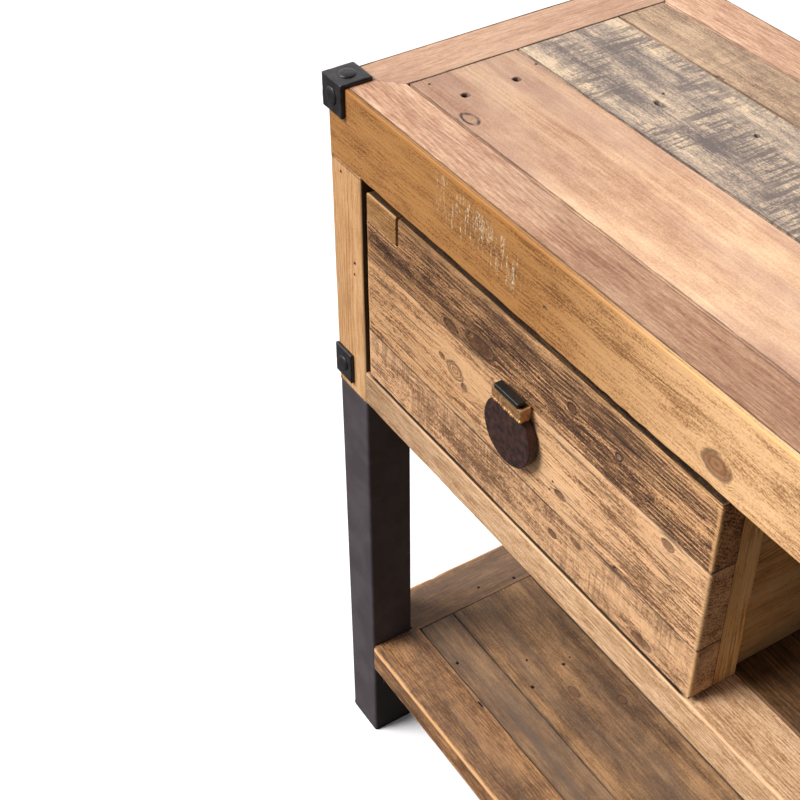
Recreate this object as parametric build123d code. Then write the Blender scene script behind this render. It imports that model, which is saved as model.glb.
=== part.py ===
from build123d import *
import os

# Console side table: reclaimed timber box on four steel legs, one drawer at
# the left, an open bay at the right, and a slatted shelf near the floor.
# Millimetres. +X right, +Y back, +Z up, z = 0 is the floor.

# ---- overall sizes ----
table_width = 1020.0
table_depth = 374.0
table_height = 835.0
box_height = 329.0

# ---- steel legs ----
leg_side = 50.0
leg_wall = 2.0
leg_corner = 3.0
leg_plate = 4.0
glide_thick = 2.0
glide_stem = 14.0
bolt_radius = 5.0
bolt_grip = 40.0
bolt_head_radius = 8.0
bolt_head = 6.0
bolt_end_gap = 1.0
hole_clearance = 0.1

# ---- top ----
# The top, its rails and the drawer's front are all sawn from one stock.
board_thick = 24.0
top_board = 49.0
narrow_plank = 51.4
plank_gap = 1.6
tight_gap = 0.4
end_gap = 0.6
batten_width = 60.0
batten_thick = 18.0
batten_end_inset = 143.0
batten_from_middle = 133.0

# ---- box frame ----
rail_top_height = 77.0
post_face = 48.5
frame_depth = 50.0
rail_bottom_height = 38.0
panel_thick = 18.0
board_gap = 0.6
floor_thick = 18.0
floor_gap = 1.0

# ---- divider ----
divider_face = 0.5
divider_thick = 24.0
divider_setback = 6.0
divider_clear = 1.5

# ---- drawer ----
front_gap_left = 9.0
front_gap_top = 7.0
front_gap_bottom = 2.5
front_overhang = 2.5
front_board_top = 66.0
front_board_bottom = 56.5
patch_width = 48.5
patch_height = 29.0
patch_thick = 12.0
drawer_wall = 12.0
drawer_top_space = 28.0
drawer_rear_space = 13.0
drawer_back_drop = 10.0
bottom_thick = 6.0
bottom_lift = 8.0
groove_depth = 5.0
guide_thick = 14.0
guide_height = 46.0
guide_clear = 1.0
ledge_width = 17.0
ledge_thick = 8.0
ledge_clear = 0.3
kicker_width = 27.0
kicker_thick = 20.0
kicker_clear = 1.5
runner_inset = 2.0
stop_clear = 0.5
stop_width = 40.0
stop_reach = 8.0
stop_height = 36.0
cleat_length = 60.0
screw_radius = 2.0
screw_head_radius = 4.5
screw_head = 3.0
screw_length = 30.0
screw_clearance = 0.05
screw_inset = 55.0
screw_from_joint = 20.0

# ---- pull ----
disc_radius = 31.0
disc_thick = 8.0
disc_rise = 1.75
boss_radius = 10.0
boss_thick = 2.0
neck_width = 35.6
neck_top = 37.5
collar_wall = 2.2
collar_height = 12.0
collar_skin = 2.0
tab_width = 32.0
tab_depth = 8.5
tab_height = 4.5
tab_proud = 0.5
tab_round = 1.0
collar_round = 1.4

# ---- shelf ----
shelf_top = 150.0
shelf_thick = 32.0
shelf_outset = 2.5
shelf_margin = 7.0
shelf_corner = 6.0
shelf_gap = 0.6
shelf_narrow_plank = 43.0
bracket_length = 38.0
bracket_width = 30.0
bracket_thick = 4.0
bracket_drop = 34.0
bracket_hole_inset = 12.0

# ---- iron corner caps and rivets ----
cap_thick = 4.0
cap_cover = 28.0
cap_round = 1.2
low_cap_height = 34.0
low_cap_lift = 11.0
rivet_radius = 8.5
rivet_top_radius = 4.5
rivet_height = 2.0
rivet_facets = 12

# ---- derived positions ----
half_width = table_width / 2
half_depth = table_depth / 2
box_bottom = table_height - box_height
rail_top_bottom = table_height - rail_top_height
rail_bottom_top = box_bottom + rail_bottom_height
top_underside = table_height - board_thick
post_inner_x = half_width - post_face
post_inner_y = half_depth - frame_depth
front_y = -half_depth

# Side and back boards sit flush with the inner faces of the rails above them.
panel_setback = board_thick - panel_thick

# The origin is the middle of the whole table's bounding box at the floor, so
# the box itself sits back by half of what the pull reaches beyond a cap.
pull_reach = boss_thick + disc_thick + collar_skin + tab_proud
back_reach = cap_thick + rivet_height
y_shift = (pull_reach - back_reach) / 2


def slab(x0, x1, y0, y1, z0, z1):
    """A plain block between two corners."""
    middle = Pos((x0 + x1) / 2, (y0 + y1) / 2, (z0 + z1) / 2)
    return middle * Box(x1 - x0, y1 - y0, z1 - z0)


def trimmed(solid, point, outward):
    """The solid with everything beyond a plane sawn off."""
    return split(solid, bisect_by=Plane(origin=point, z_dir=outward), keep=Keep.BOTTOM)


def rod(x, y, z, radius, length, along):
    """A round bar from a point, along +Y or +Z."""
    way = {"Y": (0, 1, 0), "Z": (0, 0, 1)}[along]
    face = Plane(origin=(x, y, z), z_dir=way)
    return extrude(face * Circle(radius), length)


def turned(solid, side):
    """The solid as it is for the front or left, or turned half round for the other."""
    return solid if side < 0 else Rot(0, 0, 180) * solid


def save(shape, node):
    """Writes one named piece in the table's own frame."""
    items = shape if isinstance(shape, list) else [shape]
    pieces = [Pos(0, y_shift, 0) * piece for item in items for piece in item.solids()]
    whole = pieces[0] if len(pieces) == 1 else Compound(children=pieces)
    export_step(whole, f"parts/{node}.step")


os.makedirs("parts", exist_ok=True)

# ---------------------------------------------------------------- top
corner_front_left = (-half_width, front_y, table_height)
corner_front_right = (half_width, front_y, table_height)

# Front and back frame boards, mitred at the ends and along the outer arris.
board = slab(-half_width, half_width, front_y, front_y + top_board, top_underside, table_height)
board = trimmed(board, corner_front_left, (0, -1, -1))
board = trimmed(board, corner_front_left, (-1, 1, 0))
board = trimmed(board, corner_front_right, (1, 1, 0))
save(turned(board, -1), "top_board_front")
save(turned(board, 1), "top_board_back")

# End frame boards.
corner_back_left = (-half_width, half_depth, table_height)
board = slab(-half_width, -half_width + top_board, front_y, half_depth, top_underside, table_height)
board = trimmed(board, corner_front_left, (-1, 0, -1))
board = trimmed(board, corner_front_left, (1, -1, 0))
board = trimmed(board, corner_back_left, (1, 1, 0))
save(turned(board, -1), "top_board_left")
save(turned(board, 1), "top_board_right")

# Three planks fill the frame; the two wide ones share what the narrow one leaves.
plank_end = half_width - top_board - end_gap
plank_y0 = front_y + top_board + plank_gap
plank_y5 = half_depth - top_board - plank_gap
plank_y4 = plank_y5 - narrow_plank
plank_y3 = plank_y4 - tight_gap
wide_plank = (plank_y3 - plank_y0 - plank_gap) / 2
plank_y1 = plank_y0 + wide_plank
plank_y2 = plank_y1 + plank_gap
for node, y0, y1 in (
    ("top_plank_front", plank_y0, plank_y1),
    ("top_plank_middle", plank_y2, plank_y3),
    ("top_plank_back", plank_y4, plank_y5),
):
    save(slab(-plank_end, plank_end, y0, y1, top_underside, table_height), node)

# Cross battens carry the planks between the long rails.
batten_reach = half_depth - board_thick
battens = []
batten_end = half_width - batten_end_inset
batten_places = (-batten_end, -batten_from_middle, batten_from_middle, batten_end)
for x in batten_places:
    battens.append(
        slab(
            x - batten_width / 2,
            x + batten_width / 2,
            -batten_reach,
            batten_reach,
            top_underside - batten_thick,
            top_underside,
        )
    )
save(battens, "top_battens")

# ---------------------------------------------------------------- rails and posts
rail = slab(-half_width, half_width, front_y, front_y + board_thick, rail_top_bottom, table_height)
rail = trimmed(rail, corner_front_left, (0, 1, 1))
rail = trimmed(rail, corner_front_left, (-1, 1, 0))
rail = trimmed(rail, corner_front_right, (1, 1, 0))
save(turned(rail, -1), "rail_top_front")
save(turned(rail, 1), "rail_top_back")

rail = slab(-half_width, -half_width + board_thick, front_y, half_depth, rail_top_bottom, table_height)
rail = trimmed(rail, corner_front_left, (1, 0, 1))
rail = trimmed(rail, corner_front_left, (1, -1, 0))
rail = trimmed(rail, corner_back_left, (1, 1, 0))
save(turned(rail, -1), "rail_top_left")
save(turned(rail, 1), "rail_top_right")

leg_centre_x = half_width - leg_side / 2
leg_centre_y = half_depth - leg_side / 2
corners = (
    ("front_left", -1, -1),
    ("front_right", 1, -1),
    ("back_left", -1, 1),
    ("back_right", 1, 1),
)


def corner_slab(sx, sy, x_out, x_in, y_out, y_in, z0, z1):
    """A block at one corner, given by its outer and inner distances from the middle."""
    xs = sorted((sx * x_out, sx * x_in))
    ys = sorted((sy * y_out, sy * y_in))
    return slab(xs[0], xs[1], ys[0], ys[1], z0, z1)


for name, sx, sy in corners:
    post = corner_slab(
        sx, sy, half_width, post_inner_x, half_depth, post_inner_y, box_bottom, rail_top_bottom
    )
    bore = rod(
        sx * leg_centre_x,
        sy * leg_centre_y,
        box_bottom,
        bolt_radius + hole_clearance,
        bolt_grip + bolt_end_gap,
        "Z",
    )
    save(post - bore, f"post_{name}")

rail = slab(-post_inner_x, post_inner_x, front_y, -post_inner_y, box_bottom, rail_bottom_top)
save(turned(rail, -1), "rail_bottom_front")
save(turned(rail, 1), "rail_bottom_back")
rail = slab(-half_width, -post_inner_x, -post_inner_y, post_inner_y, box_bottom, rail_bottom_top)
save(turned(rail, -1), "rail_bottom_left")
save(turned(rail, 1), "rail_bottom_right")

# ---------------------------------------------------------------- floor of the box
floor_pieces = 3
floor_span = 2 * post_inner_y
floor_width = (floor_span - floor_gap * (floor_pieces - 1)) / floor_pieces
floor_planks = []
for index in range(floor_pieces):
    y0 = -post_inner_y + index * (floor_width + floor_gap)
    floor_planks.append(
        slab(
            -post_inner_x,
            post_inner_x,
            y0,
            y0 + floor_width,
            rail_bottom_top - floor_thick,
            rail_bottom_top,
        )
    )
save(floor_planks, "floor_planks")

floor_battens = []
for x in batten_places:
    floor_battens.append(
        slab(
            x - batten_width / 2,
            x + batten_width / 2,
            -post_inner_y,
            post_inner_y,
            box_bottom,
            rail_bottom_top - floor_thick,
        )
    )
save(floor_battens, "floor_battens")

# ---------------------------------------------------------------- side and back boards
panel_pieces = 3
panel_span = rail_top_bottom - rail_bottom_top
panel_height = (panel_span - board_gap * (panel_pieces - 1)) / panel_pieces
side_boards = []
back_boards = []
for index in range(panel_pieces):
    z0 = rail_bottom_top + index * (panel_height + board_gap)
    x0 = -half_width + panel_setback
    side_boards.append(
        slab(x0, x0 + panel_thick, -post_inner_y, post_inner_y, z0, z0 + panel_height)
    )
    y1 = half_depth - panel_setback
    back_boards.append(
        slab(-post_inner_x, post_inner_x, y1 - panel_thick, y1, z0, z0 + panel_height)
    )
save(side_boards, "side_boards_left")
save([turned(piece, 1) for piece in side_boards], "side_boards_right")
save(back_boards, "back_boards")

# ---------------------------------------------------------------- divider
back_face = half_depth - panel_setback - panel_thick
divider_left = divider_face - divider_thick
divider_post_front = front_y + board_thick + divider_clear
save(
    slab(
        divider_left,
        divider_face,
        divider_post_front,
        -post_inner_y,
        rail_bottom_top,
        top_underside,
    ),
    "divider_post",
)
save(
    slab(
        divider_left,
        divider_face - divider_setback,
        -post_inner_y,
        back_face,
        rail_bottom_top,
        top_underside,
    ),
    "divider_panel",
)

# ---------------------------------------------------------------- drawer front
front_left = -post_inner_x + front_gap_left
front_right = divider_face + front_overhang
front_low = rail_bottom_top + front_gap_bottom
front_high = rail_top_bottom - front_gap_top
front_back = front_y + board_thick
joint_low = front_low + front_board_bottom
joint_high = front_high - front_board_top
pull_x = (front_left + front_right) / 2
pull_z = (front_low + front_high) / 2 + disc_rise

patch = slab(
    front_left,
    front_left + patch_width,
    front_y,
    front_y + patch_thick,
    front_high - patch_height,
    front_high,
)
save(patch, "drawer_front_patch")

pull_bore = rod(
    pull_x,
    front_y - boss_thick - disc_thick / 2,
    pull_z,
    screw_radius + screw_clearance,
    board_thick + drawer_wall + boss_thick + disc_thick,
    "Y",
)
board = slab(front_left, front_right, front_y, front_back, joint_low, joint_high)
save(board - pull_bore, "drawer_front_middle")

# ---------------------------------------------------------------- drawer box
box_left = -post_inner_x + guide_thick + guide_clear
box_right = divider_left - guide_thick - guide_clear
box_low = rail_bottom_top + ledge_thick + ledge_clear
box_high = rail_top_bottom - drawer_top_space
box_back = half_depth - panel_setback - panel_thick - drawer_rear_space
inner_left = box_left + drawer_wall
inner_right = box_right - drawer_wall
bottom_low = box_low + bottom_lift
bottom_high = bottom_low + bottom_thick

bottom = slab(
    inner_left - groove_depth,
    inner_right + groove_depth,
    front_back + drawer_wall - groove_depth,
    box_back,
    bottom_low,
    bottom_high,
)
side = slab(box_left, inner_left, front_back, box_back, box_low, box_high)
save(side - bottom, "drawer_side_left")
side = slab(inner_right, box_right, front_back, box_back, box_low, box_high)
save(side - bottom, "drawer_side_right")
save(bottom, "drawer_bottom")

inner_front = slab(
    inner_left,
    inner_right,
    front_back,
    front_back + drawer_wall,
    box_low,
    box_high - drawer_back_drop - stop_reach - stop_clear,
)
fixing_screws = []
fixing_bores = []
screw_start = front_back + drawer_wall - screw_length
for x in (inner_left + screw_inset, inner_right - screw_inset):
    for z in (joint_low - screw_from_joint, joint_high + screw_from_joint):
        shank = rod(x, screw_start, z, screw_radius, screw_length, "Y")
        head = rod(x, front_back + drawer_wall, z, screw_head_radius, screw_head, "Y")
        fixing_screws.append(shank + head)
        fixing_bores.append(
            rod(
                x,
                screw_start - 0.5,
                z,
                screw_radius + screw_clearance,
                screw_length + 1,
                "Y",
            )
        )
for bore in fixing_bores:
    inner_front = inner_front - bore
save(inner_front - bottom - pull_bore, "drawer_box_front")
save(fixing_screws, "drawer_screws")
save(
    slab(
        inner_left,
        inner_right,
        box_back - drawer_wall,
        box_back,
        bottom_high,
        box_high - drawer_back_drop,
    ),
    "drawer_back",
)

# The upper and lower front boards, with the fixing screws' holes.
board = slab(front_left, front_right, front_y, front_back, joint_high, front_high) - patch
for bore in fixing_bores:
    board = board - bore
save(board, "drawer_front_top")
board = slab(front_left, front_right, front_y, front_back, front_low, joint_low)
for bore in fixing_bores:
    board = board - bore
save(board, "drawer_front_bottom")

# ---------------------------------------------------------------- drawer runners
runner_front = front_back + runner_inset
runner_back = back_face - runner_inset
ledge_inner = -post_inner_x + guide_thick + ledge_width
runner = slab(
    -post_inner_x,
    -post_inner_x + guide_thick,
    runner_front,
    runner_back,
    rail_bottom_top,
    rail_bottom_top + guide_height,
)
runner = runner + slab(
    -post_inner_x,
    ledge_inner,
    runner_front,
    runner_back,
    rail_bottom_top,
    rail_bottom_top + ledge_thick,
)
runner_middle = (divider_left - post_inner_x) / 2
runner_right = mirror(runner, about=Plane.YZ.offset(runner_middle))
save([runner, runner_right], "drawer_runners")

kicker_low = box_high + kicker_clear
kickers = []
for x0, x1 in (
    (-post_inner_x, -post_inner_x + kicker_width),
    (divider_left - kicker_width, divider_left),
):
    kickers.append(
        slab(x0, x1, runner_front, runner_back, kicker_low, kicker_low + kicker_thick)
    )
save(kickers, "drawer_kickers")

# One block stops the closed drawer; a cleat under the top stops it coming out.
stop_x = (box_left + box_right) / 2
rear_stop = slab(
    stop_x - stop_width / 2,
    stop_x + stop_width / 2,
    box_back + stop_clear,
    back_face,
    rail_bottom_top,
    rail_bottom_top + stop_height,
)
cleat_front = front_back + stop_clear
drawer_travel = box_back - drawer_wall - stop_clear - cleat_front - cleat_length
front_stop = slab(
    stop_x - stop_width / 2,
    stop_x + stop_width / 2,
    cleat_front,
    cleat_front + cleat_length,
    box_high - drawer_back_drop - stop_reach,
    top_underside,
)
save([rear_stop, front_stop], "drawer_stops")

# ---------------------------------------------------------------- pull
disc_back = front_y - boss_thick
disc_front = disc_back - disc_thick
disc = rod(pull_x, disc_front, pull_z, disc_radius, disc_thick, "Y")
neck = slab(
    pull_x - neck_width / 2,
    pull_x + neck_width / 2,
    disc_front,
    disc_back,
    pull_z,
    pull_z + neck_top,
)
boss = rod(pull_x, disc_back, pull_z, boss_radius, boss_thick, "Y")
save(disc + neck + boss - pull_bore, "pull_disc")

collar_high = pull_z + neck_top
collar_low = collar_high - collar_height
collar = slab(
    pull_x - neck_width / 2 - collar_wall,
    pull_x + neck_width / 2 + collar_wall,
    disc_front - collar_skin,
    disc_back + boss_thick / 2,
    collar_low,
    collar_high,
)
slot = slab(
    pull_x - neck_width / 2,
    pull_x + neck_width / 2,
    disc_front,
    disc_back,
    collar_low,
    collar_high,
)
save(fillet(collar.edges().filter_by(Axis.Z), collar_round) - slot, "pull_collar")

tab_front = disc_front - collar_skin - tab_proud
tab = slab(
    pull_x - tab_width / 2,
    pull_x + tab_width / 2,
    tab_front,
    tab_front + tab_depth,
    collar_high,
    collar_high + tab_height,
)
tab_edges = tab.edges().filter_by(Axis.Z) + tab.edges().filter_by(Axis.X).sort_by(Axis.Z)[-2:]
save(fillet(tab_edges, tab_round), "pull_tab")

shank_start = disc_front + disc_thick / 2 + 1
shank_length = front_back + drawer_wall - shank_start
shank = rod(pull_x, shank_start, pull_z, screw_radius, shank_length, "Y")
head = rod(pull_x, front_back + drawer_wall, pull_z, screw_head_radius, screw_head, "Y")
save(shank + head, "pull_screw")

# ---------------------------------------------------------------- legs
leg_bolts = []
leg_glides = []
for name, sx, sy in corners:
    cx = sx * leg_centre_x
    cy = sy * leg_centre_y
    outline = Pos(cx, cy, 0) * RectangleRounded(leg_side, leg_side, leg_corner)
    hollow_side = leg_side - 2 * leg_wall
    hollow = Pos(cx, cy, 0) * RectangleRounded(hollow_side, hollow_side, leg_corner - leg_wall)
    tube = extrude(Pos(0, 0, glide_thick) * outline, box_bottom - glide_thick)
    inside = extrude(Pos(0, 0, glide_thick) * hollow, box_bottom - glide_thick - leg_plate)
    bore = rod(cx, cy, box_bottom - 2 * leg_plate, bolt_radius + hole_clearance, 3 * leg_plate, "Z")
    save(tube - inside - bore, f"leg_{name}")
    head = rod(cx, cy, box_bottom - leg_plate - bolt_head, bolt_head_radius, bolt_head, "Z")
    shank = rod(cx, cy, box_bottom - leg_plate, bolt_radius, leg_plate + bolt_grip, "Z")
    leg_bolts.append(head + shank)
    stem_side = hollow_side - 2 * hole_clearance
    stem = Pos(cx, cy, glide_thick) * RectangleRounded(stem_side, stem_side, leg_corner - leg_wall)
    leg_glides.append(extrude(outline, glide_thick) + extrude(stem, glide_stem))
save(leg_bolts, "leg_bolts")
save(leg_glides, "leg_glides")

# ---------------------------------------------------------------- shelf
shelf_low = shelf_top - shelf_thick
shelf_x = half_width + shelf_outset
shelf_y = half_depth + shelf_outset
leg_inner_x = half_width - leg_side
leg_inner_y = half_depth - leg_side
shelf_inner_x = leg_inner_x - shelf_margin
shelf_inner_y = leg_inner_y - shelf_margin
inner_corner_left = (-leg_inner_x, -leg_inner_y, shelf_top)
inner_corner_right = (leg_inner_x, -leg_inner_y, shelf_top)
inner_corner_back = (-leg_inner_x, leg_inner_y, shelf_top)

board = slab(-leg_inner_x, leg_inner_x, -shelf_y, -shelf_inner_y, shelf_low, shelf_top)
board = trimmed(board, inner_corner_left, (-1, 1, 0))
board = trimmed(board, inner_corner_right, (1, 1, 0))
front_corners = board.edges().filter_by(Axis.Z).sort_by(Axis.Y)[:2]
board = fillet(front_corners, shelf_corner)
save(turned(board, -1), "shelf_board_front")
save(turned(board, 1), "shelf_board_back")

board = slab(-shelf_x, -shelf_inner_x, -leg_inner_y, leg_inner_y, shelf_low, shelf_top)
board = trimmed(board, inner_corner_left, (1, -1, 0))
board = trimmed(board, inner_corner_back, (1, 1, 0))
outer_corners = board.edges().filter_by(Axis.Z).sort_by(Axis.X)[:2]
board = fillet(outer_corners, shelf_corner)
save(turned(board, -1), "shelf_board_left")
save(turned(board, 1), "shelf_board_right")

# One narrow plank at the front; two wide ones share what it leaves.
shelf_y0 = -shelf_inner_y + shelf_gap
shelf_y1 = shelf_y0 + shelf_narrow_plank
shelf_wide_plank = (shelf_inner_y - shelf_gap - shelf_y1 - 2 * shelf_gap) / 2
shelf_y2 = shelf_y1 + shelf_gap
shelf_y3 = shelf_y2 + shelf_wide_plank
shelf_y4 = shelf_y3 + shelf_gap
shelf_planks = []
for y0, y1 in (
    (shelf_y0, shelf_y1),
    (shelf_y2, shelf_y3),
    (shelf_y4, shelf_y4 + shelf_wide_plank),
):
    shelf_planks.append(slab(-shelf_inner_x, shelf_inner_x, y0, y1, shelf_low, shelf_top))
save(shelf_planks, "shelf_planks")

# Angle brackets on the legs' inner faces carry the shelf, one screw in each.
brackets = []
shelf_screws = []
for name, sx, sy in corners:
    cy = sy * leg_centre_y
    flat = corner_slab(
        sx,
        sy,
        leg_inner_x,
        leg_inner_x - bracket_length,
        leg_centre_y + bracket_width / 2,
        leg_centre_y - bracket_width / 2,
        shelf_low - bracket_thick,
        shelf_low,
    )
    upright = corner_slab(
        sx,
        sy,
        leg_inner_x,
        leg_inner_x - bracket_thick,
        leg_centre_y + bracket_width / 2,
        leg_centre_y - bracket_width / 2,
        shelf_low - bracket_drop,
        shelf_low,
    )
    screw_x = sx * (leg_inner_x - bracket_length + bracket_hole_inset)
    bore = rod(
        screw_x,
        cy,
        shelf_low - bracket_thick,
        screw_radius + screw_clearance,
        bracket_thick,
        "Z",
    )
    brackets.append(flat + upright - bore)
    head = rod(
        screw_x, cy, shelf_low - bracket_thick - screw_head, screw_head_radius, screw_head, "Z"
    )
    shank = rod(screw_x, cy, shelf_low - bracket_thick, screw_radius, bracket_thick, "Z")
    shelf_screws.append(head + shank)
save(brackets, "shelf_brackets")
save(shelf_screws, "shelf_screws")

# ---------------------------------------------------------------- iron caps
cap_out = cap_thick + cap_cover
top_caps = []
low_caps = []
rivets = []


def rivet(point, outward):
    """A low hammered head with flat facets, standing on a face."""
    seat = Plane(origin=point, z_dir=outward)
    foot = seat * RegularPolygon(rivet_radius, rivet_facets)
    crown = seat * Pos(0, 0, rivet_height) * RegularPolygon(rivet_top_radius, rivet_facets)
    return loft([foot.face(), crown.face()])


for name, sx, sy in corners:
    cap = corner_slab(
        sx,
        sy,
        half_width + cap_thick,
        half_width - cap_cover,
        half_depth + cap_thick,
        half_depth - cap_cover,
        table_height - cap_cover,
        table_height + cap_thick,
    )
    cap = fillet(cap.edges(), cap_round)
    wood = corner_slab(
        sx, sy, half_width, 0, half_depth, 0, table_height - 2 * cap_cover, table_height
    )
    top_caps.append(cap - wood)
    cap_x = sx * (half_width - cap_cover / 2 + cap_thick / 2)
    cap_y = sy * (half_depth - cap_cover / 2 + cap_thick / 2)
    cap_z = table_height - cap_cover / 2 + cap_thick / 2
    rivets.append(rivet((cap_x, cap_y, table_height + cap_thick), (0, 0, 1)))
    rivets.append(rivet((cap_x, sy * (half_depth + cap_thick), cap_z), (0, sy, 0)))
    rivets.append(rivet((sx * (half_width + cap_thick), cap_y, cap_z), (sx, 0, 0)))

    low_z = box_bottom + low_cap_lift
    plate = corner_slab(
        sx,
        sy,
        half_width,
        half_width - cap_cover,
        half_depth + cap_thick,
        half_depth,
        low_z,
        low_z + low_cap_height,
    )
    outer_edges = plate.faces().sort_by(Axis.Y)[0 if sy < 0 else -1].edges()
    low_caps.append(fillet(outer_edges, cap_round))
    plate_x = sx * (half_width - cap_cover / 2)
    rivets.append(
        rivet(
            (plate_x, sy * (half_depth + cap_thick), low_z + low_cap_height / 2),
            (0, sy, 0),
        )
    )
save(top_caps, "caps_top")
save(low_caps, "caps_low")
save(rivets, "cap_rivets")
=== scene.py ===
"""Looks of a reclaimed timber side table with one drawer, steel legs and iron corner caps.

Every length is in metres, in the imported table's own frame: +X right, +Y back, +Z up.
"""

import itertools
import logging
import math
from collections.abc import Sequence
from dataclasses import dataclass, field, replace
from enum import Enum

import bmesh
import bpy
import numpy as np
from mathutils import Matrix, Vector


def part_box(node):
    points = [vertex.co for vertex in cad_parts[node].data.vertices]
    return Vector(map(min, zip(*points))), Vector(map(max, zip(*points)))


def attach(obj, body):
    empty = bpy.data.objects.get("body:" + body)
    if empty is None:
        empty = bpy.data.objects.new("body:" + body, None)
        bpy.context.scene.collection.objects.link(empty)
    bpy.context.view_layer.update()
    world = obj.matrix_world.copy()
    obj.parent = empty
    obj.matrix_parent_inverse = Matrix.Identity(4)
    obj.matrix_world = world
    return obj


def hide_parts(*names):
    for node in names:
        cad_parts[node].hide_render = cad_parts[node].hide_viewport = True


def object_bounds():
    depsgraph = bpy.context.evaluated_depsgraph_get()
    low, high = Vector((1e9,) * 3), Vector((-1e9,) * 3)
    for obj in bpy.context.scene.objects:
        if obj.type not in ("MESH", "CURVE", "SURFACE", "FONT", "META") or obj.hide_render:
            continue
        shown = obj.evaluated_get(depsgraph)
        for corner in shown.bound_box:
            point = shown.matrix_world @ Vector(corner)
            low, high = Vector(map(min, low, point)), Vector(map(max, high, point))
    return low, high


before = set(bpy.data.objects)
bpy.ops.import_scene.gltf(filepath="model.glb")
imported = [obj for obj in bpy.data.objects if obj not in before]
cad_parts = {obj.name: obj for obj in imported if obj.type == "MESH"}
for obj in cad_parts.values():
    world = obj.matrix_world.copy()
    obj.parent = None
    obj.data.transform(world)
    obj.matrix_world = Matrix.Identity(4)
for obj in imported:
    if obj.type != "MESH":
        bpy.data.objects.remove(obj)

CAD_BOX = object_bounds()
MM = 0.001
Colour = tuple[float, float, float]
Point = tuple[float, float, float]
CORNERS = ("front_left", "front_right", "back_left", "back_right")
# Dark of the nail holes, also the colour of painted shade on faces in gaps and under the drawer.
PIT_AND_SHADE: Colour = (22, 14, 10)
SCRATCHED: Colour = (228, 214, 186)
log = logging.getLogger("side_table")


class Body(Enum):
    """The two moving bodies of the table."""

    TABLE = "table"
    DRAWER = "drawer"


class KnotKind(Enum):
    """How a knot shows: a thin ring, a filled dark eye, or a swirl of grain.

    Each gives its fill, rim strength, ring lightness, ring count, rim width and rim colour.
    """

    RING = (0.15, 0.95, 0.5, 12.0, 0.36, (48, 40, 48))
    EYE = (0.85, 0.6, 0.2, 12.0, 0.26, (62, 42, 34))
    SWIRL = (0.8, 0.6, 0.95, 18.0, 0.24, (50, 34, 28))


def paint(red: float, green: float, blue: float) -> tuple[float, float, float, float]:
    """A colour mixed from display values, 0 to 255, as linear light.

    Args:
        red, green, blue: the display values.
    Returns:
        Four linear numbers, the last one 1.
    """
    linear = []
    for value in (red, green, blue):
        share = value / 255
        linear.append(share / 12.92 if share <= 0.04045 else ((share + 0.055) / 1.055) ** 2.4)
    return (linear[0], linear[1], linear[2], 1.0)


def smooth_noise(points: np.ndarray, scale: Sequence[float] | float, seed: int) -> np.ndarray:
    """Smooth random values from 0 to 1, the same on every run.

    Args:
        points: an N by 3 array of places.
        scale: cells per metre, for all axes or for each.
        seed: which field of values to take.
    Returns:
        N values.
    """
    place = points * np.asarray(scale, float)
    cell = np.floor(place).astype(np.int64)
    share = place - cell
    share = share * share * (3 - 2 * share)
    total = np.zeros(len(points))
    for corner in itertools.product((0, 1), repeat=3):
        step = np.array(corner)
        at = cell + step
        mixed = at[:, 0] * 73856093 ^ at[:, 1] * 19349663 ^ at[:, 2] * 83492791
        mixed = (mixed ^ (seed * 9973 + 7919)) & 0xFFFFFFFF
        mixed = ((mixed ^ (mixed >> 13)) * 1274126177) & 0xFFFFFFFF
        mixed = mixed ^ (mixed >> 16)
        weight = np.prod(np.where(step == 1, share, 1 - share), axis=1)
        total += (mixed & 0xFFFF) / 65535 * weight
    return total


# ------------------------------------------------------------------ materials
class Wire:
    """A value on its way between shader nodes; each sum on it adds one node."""

    def __init__(self, graph: "Graph", socket: bpy.types.NodeSocket) -> None:
        """Holds a node's output and the graph that it is in."""
        self.graph = graph
        self.socket = socket

    def __add__(self, other: "Value") -> "Wire":
        """This value plus another."""
        return self.graph.math("ADD", self, other)

    def __sub__(self, other: "Value") -> "Wire":
        """This value less another."""
        return self.graph.math("SUBTRACT", self, other)

    def __rsub__(self, other: "Value") -> "Wire":
        """Another value less this one."""
        return self.graph.math("SUBTRACT", other, self)

    def __mul__(self, other: "Value") -> "Wire":
        """This value times another."""
        return self.graph.math("MULTIPLY", self, other)

    def __truediv__(self, other: "Value") -> "Wire":
        """This value over another."""
        return self.graph.math("DIVIDE", self, other)

    def __rtruediv__(self, other: "Value") -> "Wire":
        """Another value over this one."""
        return self.graph.math("DIVIDE", other, self)


Value = Wire | float | tuple[float, ...]


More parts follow.
